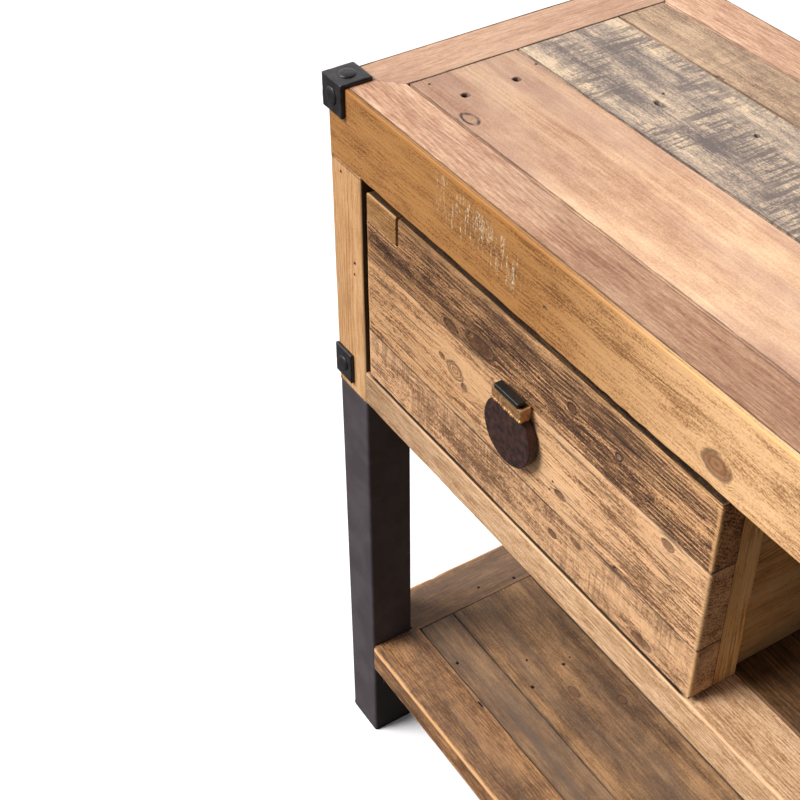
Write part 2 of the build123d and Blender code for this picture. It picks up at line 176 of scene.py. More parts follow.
class Graph:
    """A material's shader nodes, added one at a time and joined as they are added."""

    def __init__(self, name: str) -> None:
        """Starts a material with one principled shader.

        Args:
            name: the material's name.
        """
        self.material = bpy.data.materials.new(name)
        self.material.use_nodes = True
        self.tree = self.material.node_tree
        self.tree.nodes.clear()
        output = self.tree.nodes.new("ShaderNodeOutputMaterial")
        self.shader = self.tree.nodes.new("ShaderNodeBsdfPrincipled")
        self.tree.links.new(self.shader.outputs[0], output.inputs[0])

    def node(self, kind: str, **settings: object) -> bpy.types.Node:
        """Adds a node.

        Args:
            kind: the node's type, without its leading "ShaderNode".
            settings: properties to set on it.
        Returns:
            The node.
        """
        node = self.tree.nodes.new(f"ShaderNode{kind}")
        for key, value in settings.items():
            setattr(node, key, value)
        return node

    def feed(self, socket: bpy.types.NodeSocket, value: Value) -> None:
        """Links a socket to a wire, or sets it to a plain value.

        Args:
            socket: the input.
            value: what goes into it.
        """
        if isinstance(value, Wire):
            self.tree.links.new(value.socket, socket)
        else:
            socket.default_value = value

    def finish(self, **inputs: Value) -> None:
        """Feeds the shader's inputs, by their names with _ for a space."""
        for name, value in inputs.items():
            self.feed(self.shader.inputs[name.replace("_", " ")], value)

    def attribute(self, name: str, vector: bool = False) -> Wire:
        """A stored mesh attribute, as a vector or as a number."""
        node = self.node("Attribute", attribute_name=name)
        return Wire(self, node.outputs["Vector" if vector else "Fac"])

    def place(self) -> Wire:
        """Where a surface point is in the table's frame, at rest."""
        return Wire(self, self.node("TexCoord").outputs["Object"])

    def math(self, operation: str, first: Value, second: Value = 0.0, clamp: bool = False) -> Wire:
        """One sum on numbers.

        Args:
            operation: the sum's name in Blender.
            first, second: what it works on.
            clamp: whether the result stays between 0 and 1.
        Returns:
            The result.
        """
        node = self.node("Math", operation=operation, use_clamp=clamp)
        self.feed(node.inputs[0], first)
        self.feed(node.inputs[1], second)
        return Wire(self, node.outputs[0])

    def vector(self, operation: str, first: Value, second: Value = (0, 0, 0)) -> Wire:
        """One sum on vectors.

        Args:
            operation: the sum's name in Blender; LENGTH gives a number.
            first, second: what it works on; SCALE takes a number as its second.
        Returns:
            The result.
        """
        node = self.node("VectorMath", operation=operation)
        self.feed(node.inputs[0], first)
        if operation == "SCALE":
            self.feed(node.inputs["Scale"], second)
        elif operation != "LENGTH":
            self.feed(node.inputs[1], second)
        return Wire(self, node.outputs["Value" if operation == "LENGTH" else "Vector"])

    def split(self, vector: Wire) -> tuple[Wire, ...]:
        """The three numbers of a vector."""
        node = self.node("SeparateXYZ")
        self.feed(node.inputs[0], vector)
        return tuple(Wire(self, socket) for socket in node.outputs)

    def join(self, x: Value, y: Value, z: Value) -> Wire:
        """A vector from three numbers.

        Args:
            x, y, z: the numbers.
        Returns:
            The vector.
        """
        node = self.node("CombineXYZ")
        for socket, value in zip(node.inputs, (x, y, z)):
            self.feed(socket, value)
        return Wire(self, node.outputs[0])

    def noise(self, vector: Wire, scale: Point, detail: float = 3.0, rough: float = 0.55) -> Wire:
        """Noise from 0 to 1.

        Args:
            vector: the place that it is read at.
            scale: cells per metre along each axis.
            detail, rough: how many finer layers it has, and how strong they are.
        Returns:
            The noise.
        """
        node = self.node("TexNoise")
        for key, value in (("Scale", 1.0), ("Detail", detail), ("Roughness", rough)):
            node.inputs[key].default_value = value
        self.feed(node.inputs["Vector"], self.vector("MULTIPLY", vector, scale))
        return Wire(self, node.outputs["Fac"])

    def spread(self, value: Wire, low: float, high: float) -> Wire:
        """A smooth step from 0 at low to 1 at high, whichever is the larger.

        Args:
            value: what is stepped.
            low, high: where the step starts and ends.
        Returns:
            The step.
        """
        node = self.node("MapRange", interpolation_type="SMOOTHSTEP")
        start, end = (1.0, 0.0) if low > high else (0.0, 1.0)
        limits = (("From Min", min(low, high)), ("From Max", max(low, high)))
        for key, limit in (*limits, ("To Min", start), ("To Max", end)):
            node.inputs[key].default_value = limit
        self.feed(node.inputs["Value"], value)
        return Wire(self, node.outputs["Result"])

    def ramp(self, value: Wire, stops: Sequence[tuple[float, Colour]]) -> Wire:
        """Colours along a value.

        Args:
            value: a number from 0 to 1.
            stops: places along it, each with its colour.
        Returns:
            The colour.
        """
        node = self.node("ValToRGB")
        while len(node.color_ramp.elements) < len(stops):
            node.color_ramp.elements.new(0.5)
        for element, (at, colour) in zip(node.color_ramp.elements, stops):
            element.position = at
            element.color = paint(*colour)
        self.feed(node.inputs["Fac"], value)
        return Wire(self, node.outputs["Color"])

    def blend(self, share: Value, first: Value, second: Value, mode: str = "MIX") -> Wire:
        """Two colours mixed.

        Args:
            share: how much of the second there is.
            first, second: wires or display colours.
            mode: how they mix.
        Returns:
            The mixed colour.
        """
        node = self.node("Mix", data_type="RGBA", blend_type=mode, clamp_factor=True)
        self.feed(node.inputs[0], share)
        for socket, colour in ((node.inputs[6], first), (node.inputs[7], second)):
            self.feed(socket, paint(*colour) if isinstance(colour, tuple) else colour)
        return Wire(self, node.outputs[2])

    def bump(self, height: Wire, distance: float, strength: float) -> None:
        """Raises the shader's surface by a height map.

        Args:
            height: the map.
            distance: how high 1 on the map stands.
            strength: how much of it shows.
        """
        node = self.node("Bump")
        node.inputs["Distance"].default_value = distance
        node.inputs["Strength"].default_value = strength
        self.feed(node.inputs["Height"], height)
        self.finish(Normal=Wire(self, node.outputs[0]))


@dataclass(frozen=True)
class Knot:
    """A knot in a board's face.

    centre is in the table's frame, radius is across the grain, and stretch is its length along
    the grain over its width.
    """

    centre: Point
    radius: float
    kind: KnotKind = KnotKind.EYE
    stretch: float = 1.3


@dataclass(frozen=True)
class Scratches:
    """A patch of pale upright scratches between two places on a face.

    slope is how far its lower and upper ends drop for each metre to the right.
    """

    low: Point
    high: Point
    slope: float

    def cut(self, g: Graph) -> Wire:
        """Where the scratches are.

        Args:
            g: the material's graph.
        Returns:
            1 in a scratch and 0 beside it.
        """
        x, _, z = g.split(g.place())
        level = (x - self.low[0]) * self.slope + z
        left = g.spread(x, self.low[0] - 2 * MM, self.low[0] + 4 * MM)
        right = g.spread(x, self.high[0] + 8 * MM, self.high[0] - 8 * MM)
        foot = g.spread(level, self.low[2], self.low[2] + 14 * MM)
        head = g.spread(level, self.high[2], self.high[2] - 5 * MM)
        strokes = g.spread(g.noise(g.place(), (270, 0, 30), 3.0, 0.6), 0.49, 0.6)
        flecks = g.spread(g.noise(g.place(), (640, 0, 260), 3.0, 0.7), 0.46, 0.62)
        return strokes * flecks * (left * right * foot * head)


@dataclass(frozen=True)
class Figure:
    """The fields of noise that give one board its figure."""

    ring: Wire
    fibre: Wire
    hair: Wire
    speckle: Wire
    cloud: Wire
    band: Wire
    patchy: Wire

    def height(self) -> Wire:
        """How far the wood's own relief stands."""
        return self.ring * 0.4 + (self.fibre + self.hair) * 0.6 + self.speckle * 0.35


@dataclass(frozen=True)
class WoodFinish:
    """Oiled reclaimed timber: three tones, its growth rings, fibres, streaks and wear.

    ring is the rings' spacing and wander how wavy they are. The shares say how strongly a part
    shows. edge is the rubbed arrises' colour and width, seam how dark the shut ones are, partly
    grime in the joints and partly painted shade in the gaps. The colour multiplied in from one
    place along X to another is a painted shade that darkens one end. carried is for a CAD node's
    own mesh.
    """

    name: str
    dark: Colour
    middle: Colour
    light: Colour
    ring: float = 3.2 * MM
    ring_share: float = 0.3
    wander: float = 5.0
    fibre_share: float = 0.35
    cloud_share: float = 0.5
    streaks: float = 0.4
    streak_colour: Colour = (70, 48, 34)
    knot_colour: Colour = (108, 72, 50)
    grey: Colour = (120, 104, 92)
    greyness: float = 0.15
    saw: float = 0.0
    saw_spacing: float = 6.0 * MM
    edge: Colour = (226, 172, 112)
    edge_width: float = 2.5 * MM
    edge_share: float = 0.7
    rough: float = 0.5
    relief: float = 0.35
    gloss: float = 0.35
    speckle: float = 0.3
    seam: float = 0.75
    # Dark of the shut arrises: grime in the joints and painted shade in the gaps.
    grime: Colour = (58, 38, 24)
    # Painted shade: a colour multiplied in along X, darkening one end as light falls off across the
    # table.
    aged: Colour | None = None
    aged_from: float = -0.18
    aged_to: float = -0.52
    carried: bool = False

    def dress(
        self,
        name: str,
        knots: Sequence[tuple[Knot, Point]] = (),
        marks: Sequence[Scratches] = (),
    ) -> bpy.types.Material:
        """Makes the material.

        Args:
            name: the material's name.
            knots: each knot, with its centre in the board's own grain space.
            marks: patches of pale scratches.
        Returns:
            The material.
        """
        g = Graph(name)
        grain = self.grain(g)
        flow, eyes = self.bend(g, grain, knots)
        figure = self.figure(g, grain, flow)
        tones = ((0.12, self.dark), (0.5, self.middle), (0.88, self.light))
        colour = g.ramp(self.tone(g, figure), tones)

        weathered = g.spread(g.noise(flow, (4, 34, 34), 4.0, 0.6), 0.42, 0.7) * self.greyness
        weathered = g.math("ADD", weathered, g.attribute("tint"), clamp=True)
        colour = g.blend(weathered, colour, self.grey)
        streak = g.spread(g.noise(flow, (16, 430, 430), 5.0, 0.7), 0.54, 0.66) * self.streaks
        colour = g.blend(streak, colour, self.streak_colour)
        height = figure.height() - streak * 0.9
        if self.saw:
            cut = self.saw_cut(g, grain)
            colour = g.blend(cut, colour, self.dark)
            height = height - cut
        colour = self.wear(g, grain, figure.fibre, colour)
        for knot, share in eyes:
            colour, height = self.knot(g, knot, share, figure.patchy, colour, height)
        # Painted shade: darker towards one end along X, for light falling off across the table.
        if self.aged:
            share = g.spread(g.split(g.place())[0], self.aged_from, self.aged_to)
            colour = g.blend(share, colour, self.aged, "MULTIPLY")
        for mark in marks:
            cut = mark.cut(g)
            colour = g.blend(cut * 0.85, colour, SCRATCHED)
            height = height - cut
        shine = (figure.fibre - 0.5) * 0.25 + self.rough
        g.finish(
            # Nail holes are dark, and the same attribute paints shade on faces in gaps, under the
            # drawer and in the notch.
            Base_Color=g.blend(g.attribute("pit"), colour, PIT_AND_SHADE),
            Roughness=g.math("ADD", shine, weathered * 0.2, clamp=True),
            Specular_IOR_Level=self.gloss,
        )
        g.bump(height, 0.7 * MM, self.relief)
        return g.material

    def grain(self, g: Graph) -> Wire:
        """The grain's space: along the board, then across it.

        Args:
            g: the material's graph.
        Returns:
            A stored place, or the table's own for a CAD node, which has none stored.
        """
        if not self.carried:
            return g.attribute("grain", vector=True)
        x, y, z = g.split(g.place())
        return g.join(y, x, z)

    def bend(
        self, g: Graph, grain: Wire, knots: Sequence[tuple[Knot, Point]]
    ) -> tuple[Wire, list[tuple[Knot, Wire]]]:
        """Leads the grain round its knots.

        Args:
            g: the material's graph.
            grain: the straight grain's space.
            knots: each knot, with its centre in that space.
        Returns:
            The bent space, and each knot with the distance to it in its own radii.
        """
        flow, eyes = grain, []
        for knot, centre in knots:
            offset = g.vector("SUBTRACT", grain, centre)
            away = g.vector("MULTIPLY", offset, (1 / knot.stretch, 1.0, 1.0))
            ragged = (g.noise(grain, (90, 160, 160), 2.0) - 0.5) * (knot.radius * 0.5)
            reach = g.vector("LENGTH", away) + ragged
            nearness = knot.radius / g.math("MAXIMUM", reach, knot.radius)
            sideways = g.vector("MULTIPLY", away, (0.0, 1.0, 1.0))
            pull = g.vector("SCALE", sideways, nearness * nearness)
            flow = g.vector("SUBTRACT", flow, pull)
            eyes.append((knot, reach / knot.radius))
        return flow, eyes

    def figure(self, g: Graph, grain: Wire, flow: Wire) -> Figure:
        """Makes the board's rings, fibres, specks and clouds.

        Args:
            g: the material's graph.
            grain: the straight grain's space.
            flow: the same, bent round the knots.
        Returns:
            The fields.
        """
        sway = (g.noise(flow, (3.0, 14, 14), 3.0, 0.5) - 0.5) * (22 * MM)
        slow = g.vector("MULTIPLY", flow, (0.09, 1.0, 1.0))
        slow = g.vector("ADD", slow, g.join(0.0, sway, sway))
        rings = g.node("TexWave", wave_type="RINGS", rings_direction="X", wave_profile="SAW")
        for key, value in (
            ("Scale", math.tau / (20 * self.ring)),
            ("Distortion", self.wander),
            ("Detail", 2.5),
            ("Detail Scale", 0.5),
            ("Detail Roughness", 0.6),
        ):
            rings.inputs[key].default_value = value
        g.feed(rings.inputs["Vector"], slow)
        clear = g.spread(g.noise(flow, (2.5, 40, 40), 3.0, 0.6), 0.36, 0.6)
        return Figure(
            ring=g.spread(Wire(g, rings.outputs["Fac"]), 0.45, 0.95) * clear,
            fibre=g.noise(flow, (48, 640, 640), 4.0, 0.65),
            hair=g.noise(flow, (70, 1250, 1250), 2.0, 0.6),
            speckle=g.noise(grain, (420, 760, 760), 3.0, 0.7),
            cloud=g.noise(flow, (8, 30, 30), 4.0, 0.55),
            band=g.noise(flow, (4, 95, 95), 3.0, 0.6),
            patchy=g.noise(grain, (40, 60, 60), 4.0, 0.6),
        )

    def tone(self, g: Graph, figure: Figure) -> Wire:
        """How light the wood is, from 0 to 1.

        Args:
            g: the material's graph.
            figure: the board's fields.
        Returns:
            The tone.
        """
        tone = (figure.ring - 0.2) * self.ring_share + 0.5
        for part, share in (
            (figure.fibre, self.fibre_share * 2.4),
            (figure.hair, self.fibre_share * 1.8),
            (figure.speckle, self.speckle * 2.4),
            (figure.cloud, self.cloud_share * 2.4),
            (figure.band, self.cloud_share * 1.6),
            (figure.patchy, self.cloud_share),
        ):
            tone = tone + (part - 0.5) * share
        return g.math("ADD", tone, 0.0, clamp=True)

    def saw_cut(self, g: Graph, grain: Wire) -> Wire:
        """Where the saw's teeth have scored the face.

        Args:
            g: the material's graph.
            grain: the straight grain's space.
        Returns:
            How deep the cut is.
        """
        teeth = g.noise(grain, (0.9 / self.saw_spacing, 22, 22), 3.0, 0.65)
        chatter = g.noise(grain, (420, 300, 300), 3.0, 0.65)
        where = g.spread(g.noise(grain, (13, 20, 20), 3.0, 0.6), 0.38, 0.6)
        bite = g.spread(teeth + (chatter - 0.5) * 0.45, 0.44, 0.58)
        return bite * where * self.saw

    def wear(self, g: Graph, grain: Wire, fibre: Wire, colour: Wire) -> Wire:
        """Rubs open arrises light; darkens shut ones with grime and painted shade in the gaps.

        Args:
            g: the material's graph.
            grain: the straight grain's space.
            fibre: the board's fibres.
            colour: the colour so far.
        Returns:
            The worn colour.
        """
        arris, exposed = g.attribute("arris"), g.attribute("exposed")
        ragged = (g.noise(grain, (70, 240, 240), 4.0, 0.7) - 0.5) * (self.edge_width * 1.6)
        rubbed = g.spread(arris + ragged, self.edge_width, self.edge_width * 0.25)
        bare = g.blend(fibre, self.edge, self.light)
        colour = g.blend(rubbed * self.edge_share * exposed, colour, bare)
        # Dark line at shut arrises: partly grime in the joints, partly painted shade in the gaps.
        grime_and_shade_share = g.spread(arris + (fibre - 0.5) * (2.5 * MM), 1.3 * MM, 0.3 * MM)
        return g.blend(grime_and_shade_share * ((1.0 - exposed) * self.seam), colour, self.grime)

    def knot(
        self, g: Graph, knot: Knot, share: Wire, patchy: Wire, colour: Wire, height: Wire
    ) -> tuple[Wire, Wire]:
        """Draws one knot's rings and rim.

        Args:
            g: the material's graph.
            knot: the knot.
            share: the distance to its centre, in its own radii.
            patchy: the noise that breaks it up.
            colour, height: the colour and relief so far.
        Returns:
            The colour and relief with the knot.
        """
        fill, line, ring_light, turn_rate, rim_width, rim_colour = knot.kind.value
        turns = g.math("SINE", share * turn_rate + patchy * 9.0) * 0.5 + 0.5
        shade = (1.0 - turns * ring_light) * fill
        filled = g.spread(share, 1.08, 0.75) * g.spread(patchy, 0.12, 0.36)
        colour = g.blend(filled * shade, colour, self.knot_colour)
        rim = g.spread(g.math("ABSOLUTE", share - 1.0), rim_width, 0.04)
        broken = rim * g.spread(patchy, 0.3, 0.46)
        return g.blend(broken * line, colour, rim_colour), height - broken * 0.8


@dataclass(frozen=True)
class MetalFinish:
    """Iron, steel, brass or plastic with cloudy colour, wear at its arrises and dents."""

    name: str
    base: Colour
    cloud: Colour
    metallic: float = 0.6
    rough: float = 0.45
    cloud_scale: float = 120.0
    worn: Colour = (150, 140, 132)
    worn_width: float = 1.2 * MM
    worn_share: float = 0.0
    rust: Colour = (120, 66, 36)
    rust_share: float = 0.0
    dents: float = 0.3
    dent_scale: float = 260.0
    dent_depth: float = 0.4 * MM
    coat: float = 0.0
    gloss: float = 0.5

    def dress(self) -> bpy.types.Material:
        """Makes the material.

        Returns:
            The material.
        """
        g = Graph(self.name)
        place = g.place()
        cloud = g.noise(place, (self.cloud_scale,) * 3, 5.0, 0.62)
        fine = g.noise(place, (self.dent_scale * 4,) * 3, 3.0, 0.6)
        dent = g.noise(place, (self.dent_scale,) * 3, 3.0, 0.5)
        colour = g.blend(g.spread(cloud, 0.36, 0.64), self.base, self.cloud)
        if self.rust_share:
            spots = g.spread(g.noise(place, (self.cloud_scale * 1.9,) * 3, 5.0, 0.7), 0.58, 0.72)
            colour = g.blend(spots * self.rust_share, colour, self.rust)
        if self.worn_share:
            ragged = (g.noise(place, (340, 340, 340), 4.0, 0.7) - 0.42) * (self.worn_width * 5)
            near = g.attribute("arris") + ragged
            rubbed = g.spread(near, self.worn_width, self.worn_width * 0.2) * self.worn_share
            colour = g.blend(rubbed, colour, self.worn)
        shine = (cloud - 0.5) * 0.35 + self.rough
        g.finish(
            Base_Color=colour,
            Metallic=self.metallic,
            Roughness=g.math("ADD", shine, fine * 0.08, clamp=True),
            Specular_IOR_Level=self.gloss,
            Coat_Weight=self.coat,
            Coat_Roughness=0.15,
        )
        g.bump(dent + fine * 0.25, self.dent_depth, self.dents)
        return g.material


# ------------------------------------------------------------------ meshes
def shells(node: str) -> list[np.ndarray]:
    """The separate solids of a CAD node, as clouds of points in order of their centres.

    Args:
        node: the CAD node's name.
    Returns:
        One N by 3 array for each solid.
    """
    work = bmesh.new()
    work.from_mesh(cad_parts[node].data)
    bmesh.ops.remove_doubles(work, verts=work.verts, dist=1e-6)
    seen: set[bmesh.types.BMVert] = set()
    clouds = []
    for start in work.verts:
        if start in seen:
            continue
        seen.add(start)
        queue, cloud = [start], []
        while queue:
            vertex = queue.pop()
            cloud.append(tuple(vertex.co))
            for edge in vertex.link_edges:
                other = edge.other_vert(vertex)
                if other not in seen:
                    seen.add(other)
                    queue.append(other)
        clouds.append(np.array(cloud))
    work.free()
    return sorted(clouds, key=lambda c: tuple(np.round((c.min(0) + c.max(0)) / 2, 4)))


def fresh_mesh(
    name: str, points: np.ndarray, faces: Sequence, marks: dict[str, np.ndarray]
) -> bpy.types.Mesh:
    """A smooth-shaded mesh with stored attributes.

    Args:
        name: the mesh's name.
        points: an N by 3 array.
        faces: lists of point numbers.
        marks: attribute name to N numbers or N vectors.
    Returns:
        The mesh.
    """
    mesh = bpy.data.meshes.new(name)
    mesh.from_pydata(points.tolist(), [], faces if isinstance(faces, list) else faces.tolist())
    mesh.polygons.foreach_set("use_smooth", np.ones(len(mesh.polygons), bool))
    store(mesh, marks)
    mesh.validate()
    mesh.update()
    return mesh


def store(mesh: bpy.types.Mesh, marks: dict[str, np.ndarray]) -> None:
    """Stores numbers or vectors on a mesh's points.

    Args:
        mesh: the mesh.
        marks: attribute name to N numbers or N vectors.
    """
    for key, values in marks.items():
        kind, field_name = ("FLOAT_VECTOR", "vector") if values.ndim == 2 else ("FLOAT", "value")
        layer = mesh.attributes.new(key, kind, "POINT")
        layer.data.foreach_set(field_name, values.astype(np.float32).ravel())


def put(
    name: str,
    mesh: bpy.types.Mesh,
    material: bpy.types.Material,
    body: Body,
    node: str,
) -> bpy.types.Object:
    """Adds one piece to the scene, on its body, in place of its CAD node.

    Args:
        name: the piece's name.
        mesh: its mesh.
        material: its material.
        body: the body that it moves with.
        node: the CAD node that it stands for.
    Returns:
        The new object.
    """
    piece = bpy.data.objects.new(name, mesh)
    bpy.context.scene.collection.objects.link(piece)
    mesh.materials.clear()
    mesh.materials.append(material)
    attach(piece, body.value)
    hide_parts(node)
    log.info("%s: %d faces", name, len(mesh.polygons))
    return piece


class Side(Enum):
    """The table's four sides, each by its axis and the way that it faces along it."""

    FRONT = (1, -1)
    BACK = (1, 1)
    LEFT = (0, -1)
    RIGHT = (0, 1)

    @property
    def label(self) -> str:
        """The side's word in the names of nodes."""
        return self.name.lower()

    @property
    def axis(self) -> int:
        """The axis that the side faces along."""
        return self.value[0]

    @property
    def sign(self) -> int:
        """Which way it faces along its axis."""
        return self.value[1]

    @property
    def outer(self) -> str:
        """The face of a board that looks outwards there, such as "-Y"."""
        return "-+"[self.sign > 0] + "XY"[self.axis]

    @property
    def inner(self) -> str:
        """The face of a board that looks inwards there."""
        return "+-"[self.sign > 0] + "XY"[self.axis]

    def outward(self, distance: float) -> Point:
        """A move outwards by a distance."""
        return (0.0, self.sign * distance, 0.0) if self.axis else (self.sign * distance, 0.0, 0.0)

    def top_corners(self, way: int) -> list[tuple[int, int, int]]:
        """A board's two upper corners on its face that looks one way along the side's axis."""
        return [(end, way, 1) if self.axis else (way, end, 1) for end in (-1, 1)]


@dataclass(frozen=True)
class Hole:
    """A nail hole or small chip sunk into a board's face."""

    centre: Point
    radius: float
    depth: float
    stretch: float = 1.0


@dataclass(frozen=True)
class Face:
    """One face of the table, on which two numbers give a place.

    axis is the one that it faces along, and level is its place there.
    """

    axis: int
    level: float

    def at(self, first: float, second: float) -> Point:
        """A place on the face, from its other two coordinates."""
        place = [first, second]
        place.insert(self.axis, self.level)
        return (place[0], place[1], place[2])

    def holes(self, *rows: tuple[float, ...]) -> tuple[Hole, ...]:
        """Nail holes: place, radius and depth in millimetres, and stretch."""
        return tuple(Hole(self.at(*r[:2]), r[2] * MM, r[3] * MM, *r[4:]) for r in rows)

    def knots(self, *rows: tuple[float | KnotKind, ...]) -> tuple[Knot, ...]:
        """Knots: place, radius in millimetres, kind and stretch."""
        return tuple(Knot(self.at(*r[:2]), r[2] * MM, *r[3:]) for r in rows)


@dataclass(frozen=True)
class Sawn:
    """How one solid of timber is cut: its grid, soft arrises and marks.

    rounds gives some arrises their own radius, by two faces such as "-Y+Z". shift moves corners,
    cuts are places and outward ways of flat cuts, notch and shaded are boxes, both darkened with
    painted shade, plan_round is the radius of its outer corners seen from above, and a face list
    darkens whole faces that sit in gaps with painted shade.
    """

    step: float = 8 * MM
    arris: float = 1.0 * MM
    end_arris: float = 0.5 * MM
    rounds: dict[str, float] = field(default_factory=dict)
    wear: float = 0.9
    waviness: float = 0.25 * MM
    holes: tuple[Hole, ...] = ()
    shift: dict[tuple[int, int, int], Point] = field(default_factory=dict)
    cuts: tuple[tuple[Point, Point], ...] = ()
    notch: tuple[Point, Point] | None = None
    plan_round: float = 0.0
    snap: float = 0.0
    # Painted shade on whole faces that sit in gaps, by face and darkness.
    stains: dict[str, float] = field(default_factory=dict)
    shaded: tuple[Point, Point] | None = None


class Stick:
    """One sawn solid: six faces between eight corners, gridded, worn and marked."""

    corner_weights = (0.45, 1.0, 1.6)
    near_edge = (0.0, 0.22, 0.45, 0.7, 1.0, 1.5)
    round_hole = (-1.7, -1.3, -1, -0.82, -0.5, 0, 0.5, 0.82, 1, 1.3, 1.7)
    # How dark the painted shade is in the drawer board's notch and in a shaded box.
    notch_pit = 0.85
    shade_pit = 0.93

    def __init__(self, cloud: np.ndarray, sawn: Sawn, seed: int) -> None:
        """Finds the solid's corners and its grain.

        Args:
            cloud: the CAD solid's points.
            sawn: how it is cut.
            seed: which random wear and grain it has.
        """
        self.sawn = sawn
        self.seed = seed
        extent = cloud.max(0) - cloud.min(0)
        self.order = [int(i) for i in np.argsort(-extent, kind="stable")]
        weights = np.zeros(3)
        weights[self.order] = self.corner_weights
        self.corners = np.zeros((2, 2, 2, 3))
        for key in itertools.product((0, 1), repeat=3):
            sign = np.zeros(3)
            for position, axis in enumerate(self.order):
                sign[axis] = 1 if key[position] else -1
            corner = cloud[np.argmax(cloud @ (sign * weights))].copy()
            for axis in range(3):
                limit = cloud[:, axis].max() if sign[axis] > 0 else cloud[:, axis].min()
                if abs(limit - corner[axis]) < sawn.snap:
                    corner[axis] = limit
            move = sawn.shift.get(tuple(int(s) for s in sign))
            self.corners[key] = corner + (np.array(move) if move else 0)
        ends = [np.moveaxis(self.corners, axis, 0) for axis in range(3)]
        self.size = np.array([np.linalg.norm(e[1].mean((0, 1)) - e[0].mean((0, 1))) for e in ends])
        chance = np.random.default_rng(seed)
        depth = chance.uniform(0.02, 0.05) * chance.choice((-1, 1))
        across = chance.choice((-1, 1)) * chance.uniform(0.8, 1.5) + 0.5
        self.origin = np.array([chance.uniform(0, 9), -self.size[1] * across, depth])

    def world(self, local: np.ndarray) -> np.ndarray:
        """Places in the table's frame.

        Args:
            local: N places along the stick's own three edges.
        Returns:
            The N places.
        """
        u, v, w = (local / self.size).T
        total = np.zeros((len(local), 3))
        for i, j, k in itertools.product((0, 1), repeat=3):
            share = (u if i else 1 - u) * (v if j else 1 - v) * (w if k else 1 - w)
            total += share[:, None] * self.corners[i, j, k]
        return total

    def local(self, place: Sequence[float]) -> np.ndarray:
        """A place along the stick's own edges.

        Args:
            place: the place in the table's frame.
        Returns:
            The place, found by stepping nearer to it.
        """
        guess = self.size[None, :] / 2
        nudge = 0.1 * MM
        for _ in range(12):
            here = self.world(guess)[0]
            moved = [self.world(guess + nudge * np.eye(3)[axis])[0] for axis in range(3)]
            slopes = np.array([(there - here) / nudge for there in moved]).T
            guess = guess + np.linalg.solve(slopes, np.asarray(place) - here)[None, :]
        return guess[0]

    def grain_at(self, place: Sequence[float]) -> Point:
        """A place in the stick's grain space, from one in the table's frame."""
        return tuple(float(v) for v in self.local(place) + self.origin)

    def radius_at(self, points: np.ndarray) -> tuple[np.ndarray, np.ndarray]:
        """Each point's arris radius, from the arris nearest to it and the wear there.

        Args:
            points: N places along the stick's edges.
        Returns:
            The radii, and how open to wear each point's arris is, from 0 to 1.
        """
        high = self.size - points
        far = np.where(high < points, 1, -1)
        ranks = np.argsort(np.minimum(points, high), axis=1, kind="stable")
        first, second = ranks[:, 0], ranks[:, 1]
        at_end = (first == 0) | (second == 0)
        radius = np.where(at_end, self.sawn.end_arris, self.sawn.arris)
        for key, value in self.sawn.rounds.items():
            chosen = np.ones(len(points), bool)
            for i in (0, 2):
                axis, sign = self.order.index("XYZ".index(key[i + 1])), 1 if key[i] == "+" else -1
                chosen &= ((first == axis) | (second == axis)) & (far[:, axis] == sign)
            radius = np.where(chosen, value, radius)
        exposed = np.clip((radius - 1.1 * MM) / (1.2 * MM), 0, 1)
        worn = smooth_noise(points + self.origin, (45, 18, 18), self.seed)
        chip = smooth_noise(points + self.origin, (140, 40, 40), self.seed + 5)
        wear = 0.7 * (worn - 0.5) + 0.9 * np.maximum(chip - 0.72, 0) * 3.2
        return radius * (1 + self.sawn.wear * wear), exposed

    def lines(self, axis: int, marks: list[float]) -> np.ndarray:
        """Grid positions along one edge: close together at its ends and at marks.

        Args:
            axis: the edge, 0 to 2.
            marks: positions that must have a line.
        Returns:
            The positions, in order.
        """
        size = self.size[axis]
        radii = (self.sawn.arris, self.sawn.end_arris, *self.sawn.rounds.values())
        largest = min(max(radii) * 1.5, size * 0.3)
        near = [largest * share for share in self.near_edge]
        count = max(2, round((size - 2 * near[-1]) / self.sawn.step) + 1)
        inner = np.linspace(near[-1], size - near[-1], count)
        wanted = sorted([*near, *(size - n for n in near), *inner.tolist()])
        fixed = sorted(m for m in marks if 0 < m < size)
        kept = [
            w for w in wanted if all(abs(w - f) > 0.5 * MM for f in fixed) or w in (0.0, size)
        ]
        merged = [0.0]
        for value in sorted([*kept, *fixed]):
            if value - merged[-1] > 0.05 * MM:
                merged.append(value)
        merged[-1] = size
        return np.array(merged)

    def reach(self, hole: Hole, axis: int) -> float:
        """How far a hole goes along one edge; its stretch is along the grain."""
        return hole.radius * (hole.stretch if axis == 0 else 1)

    def facing(self, centre: np.ndarray) -> int:
        """Which edge runs into the face that a place is on."""
        return int(np.argmin(np.minimum(np.abs(centre), np.abs(self.size - centre))))

    def grid(self, sunk: list[tuple[Hole, np.ndarray]]) -> list[np.ndarray]:
        """Grid positions along all three edges.

        Args:
            sunk: each hole, with its centre along the edges.
        Returns:
            The positions along each edge.
        """
        marks: list[list[float]] = [[], [], []]
        for hole, centre in sunk:
            facing = self.facing(centre)
            for axis in range(3):
                if axis != facing:
                    reach = self.reach(hole, axis)
                    marks[axis] += [centre[axis] + reach * share for share in self.round_hole]
        for corner in self.sawn.notch or ():
            for axis, value in enumerate(self.local(corner)):
                marks[axis] += [value - 0.06 * MM, value + 0.06 * MM]
        if self.sawn.plan_round:
            for share in (0.25, 0.5, 0.75, 1.0):
                for axis in (0, 1):
                    reach = self.sawn.plan_round * share
                    marks[axis] += [reach, self.size[axis] - reach]
        return [self.lines(axis, marks[axis]) for axis in range(3)]

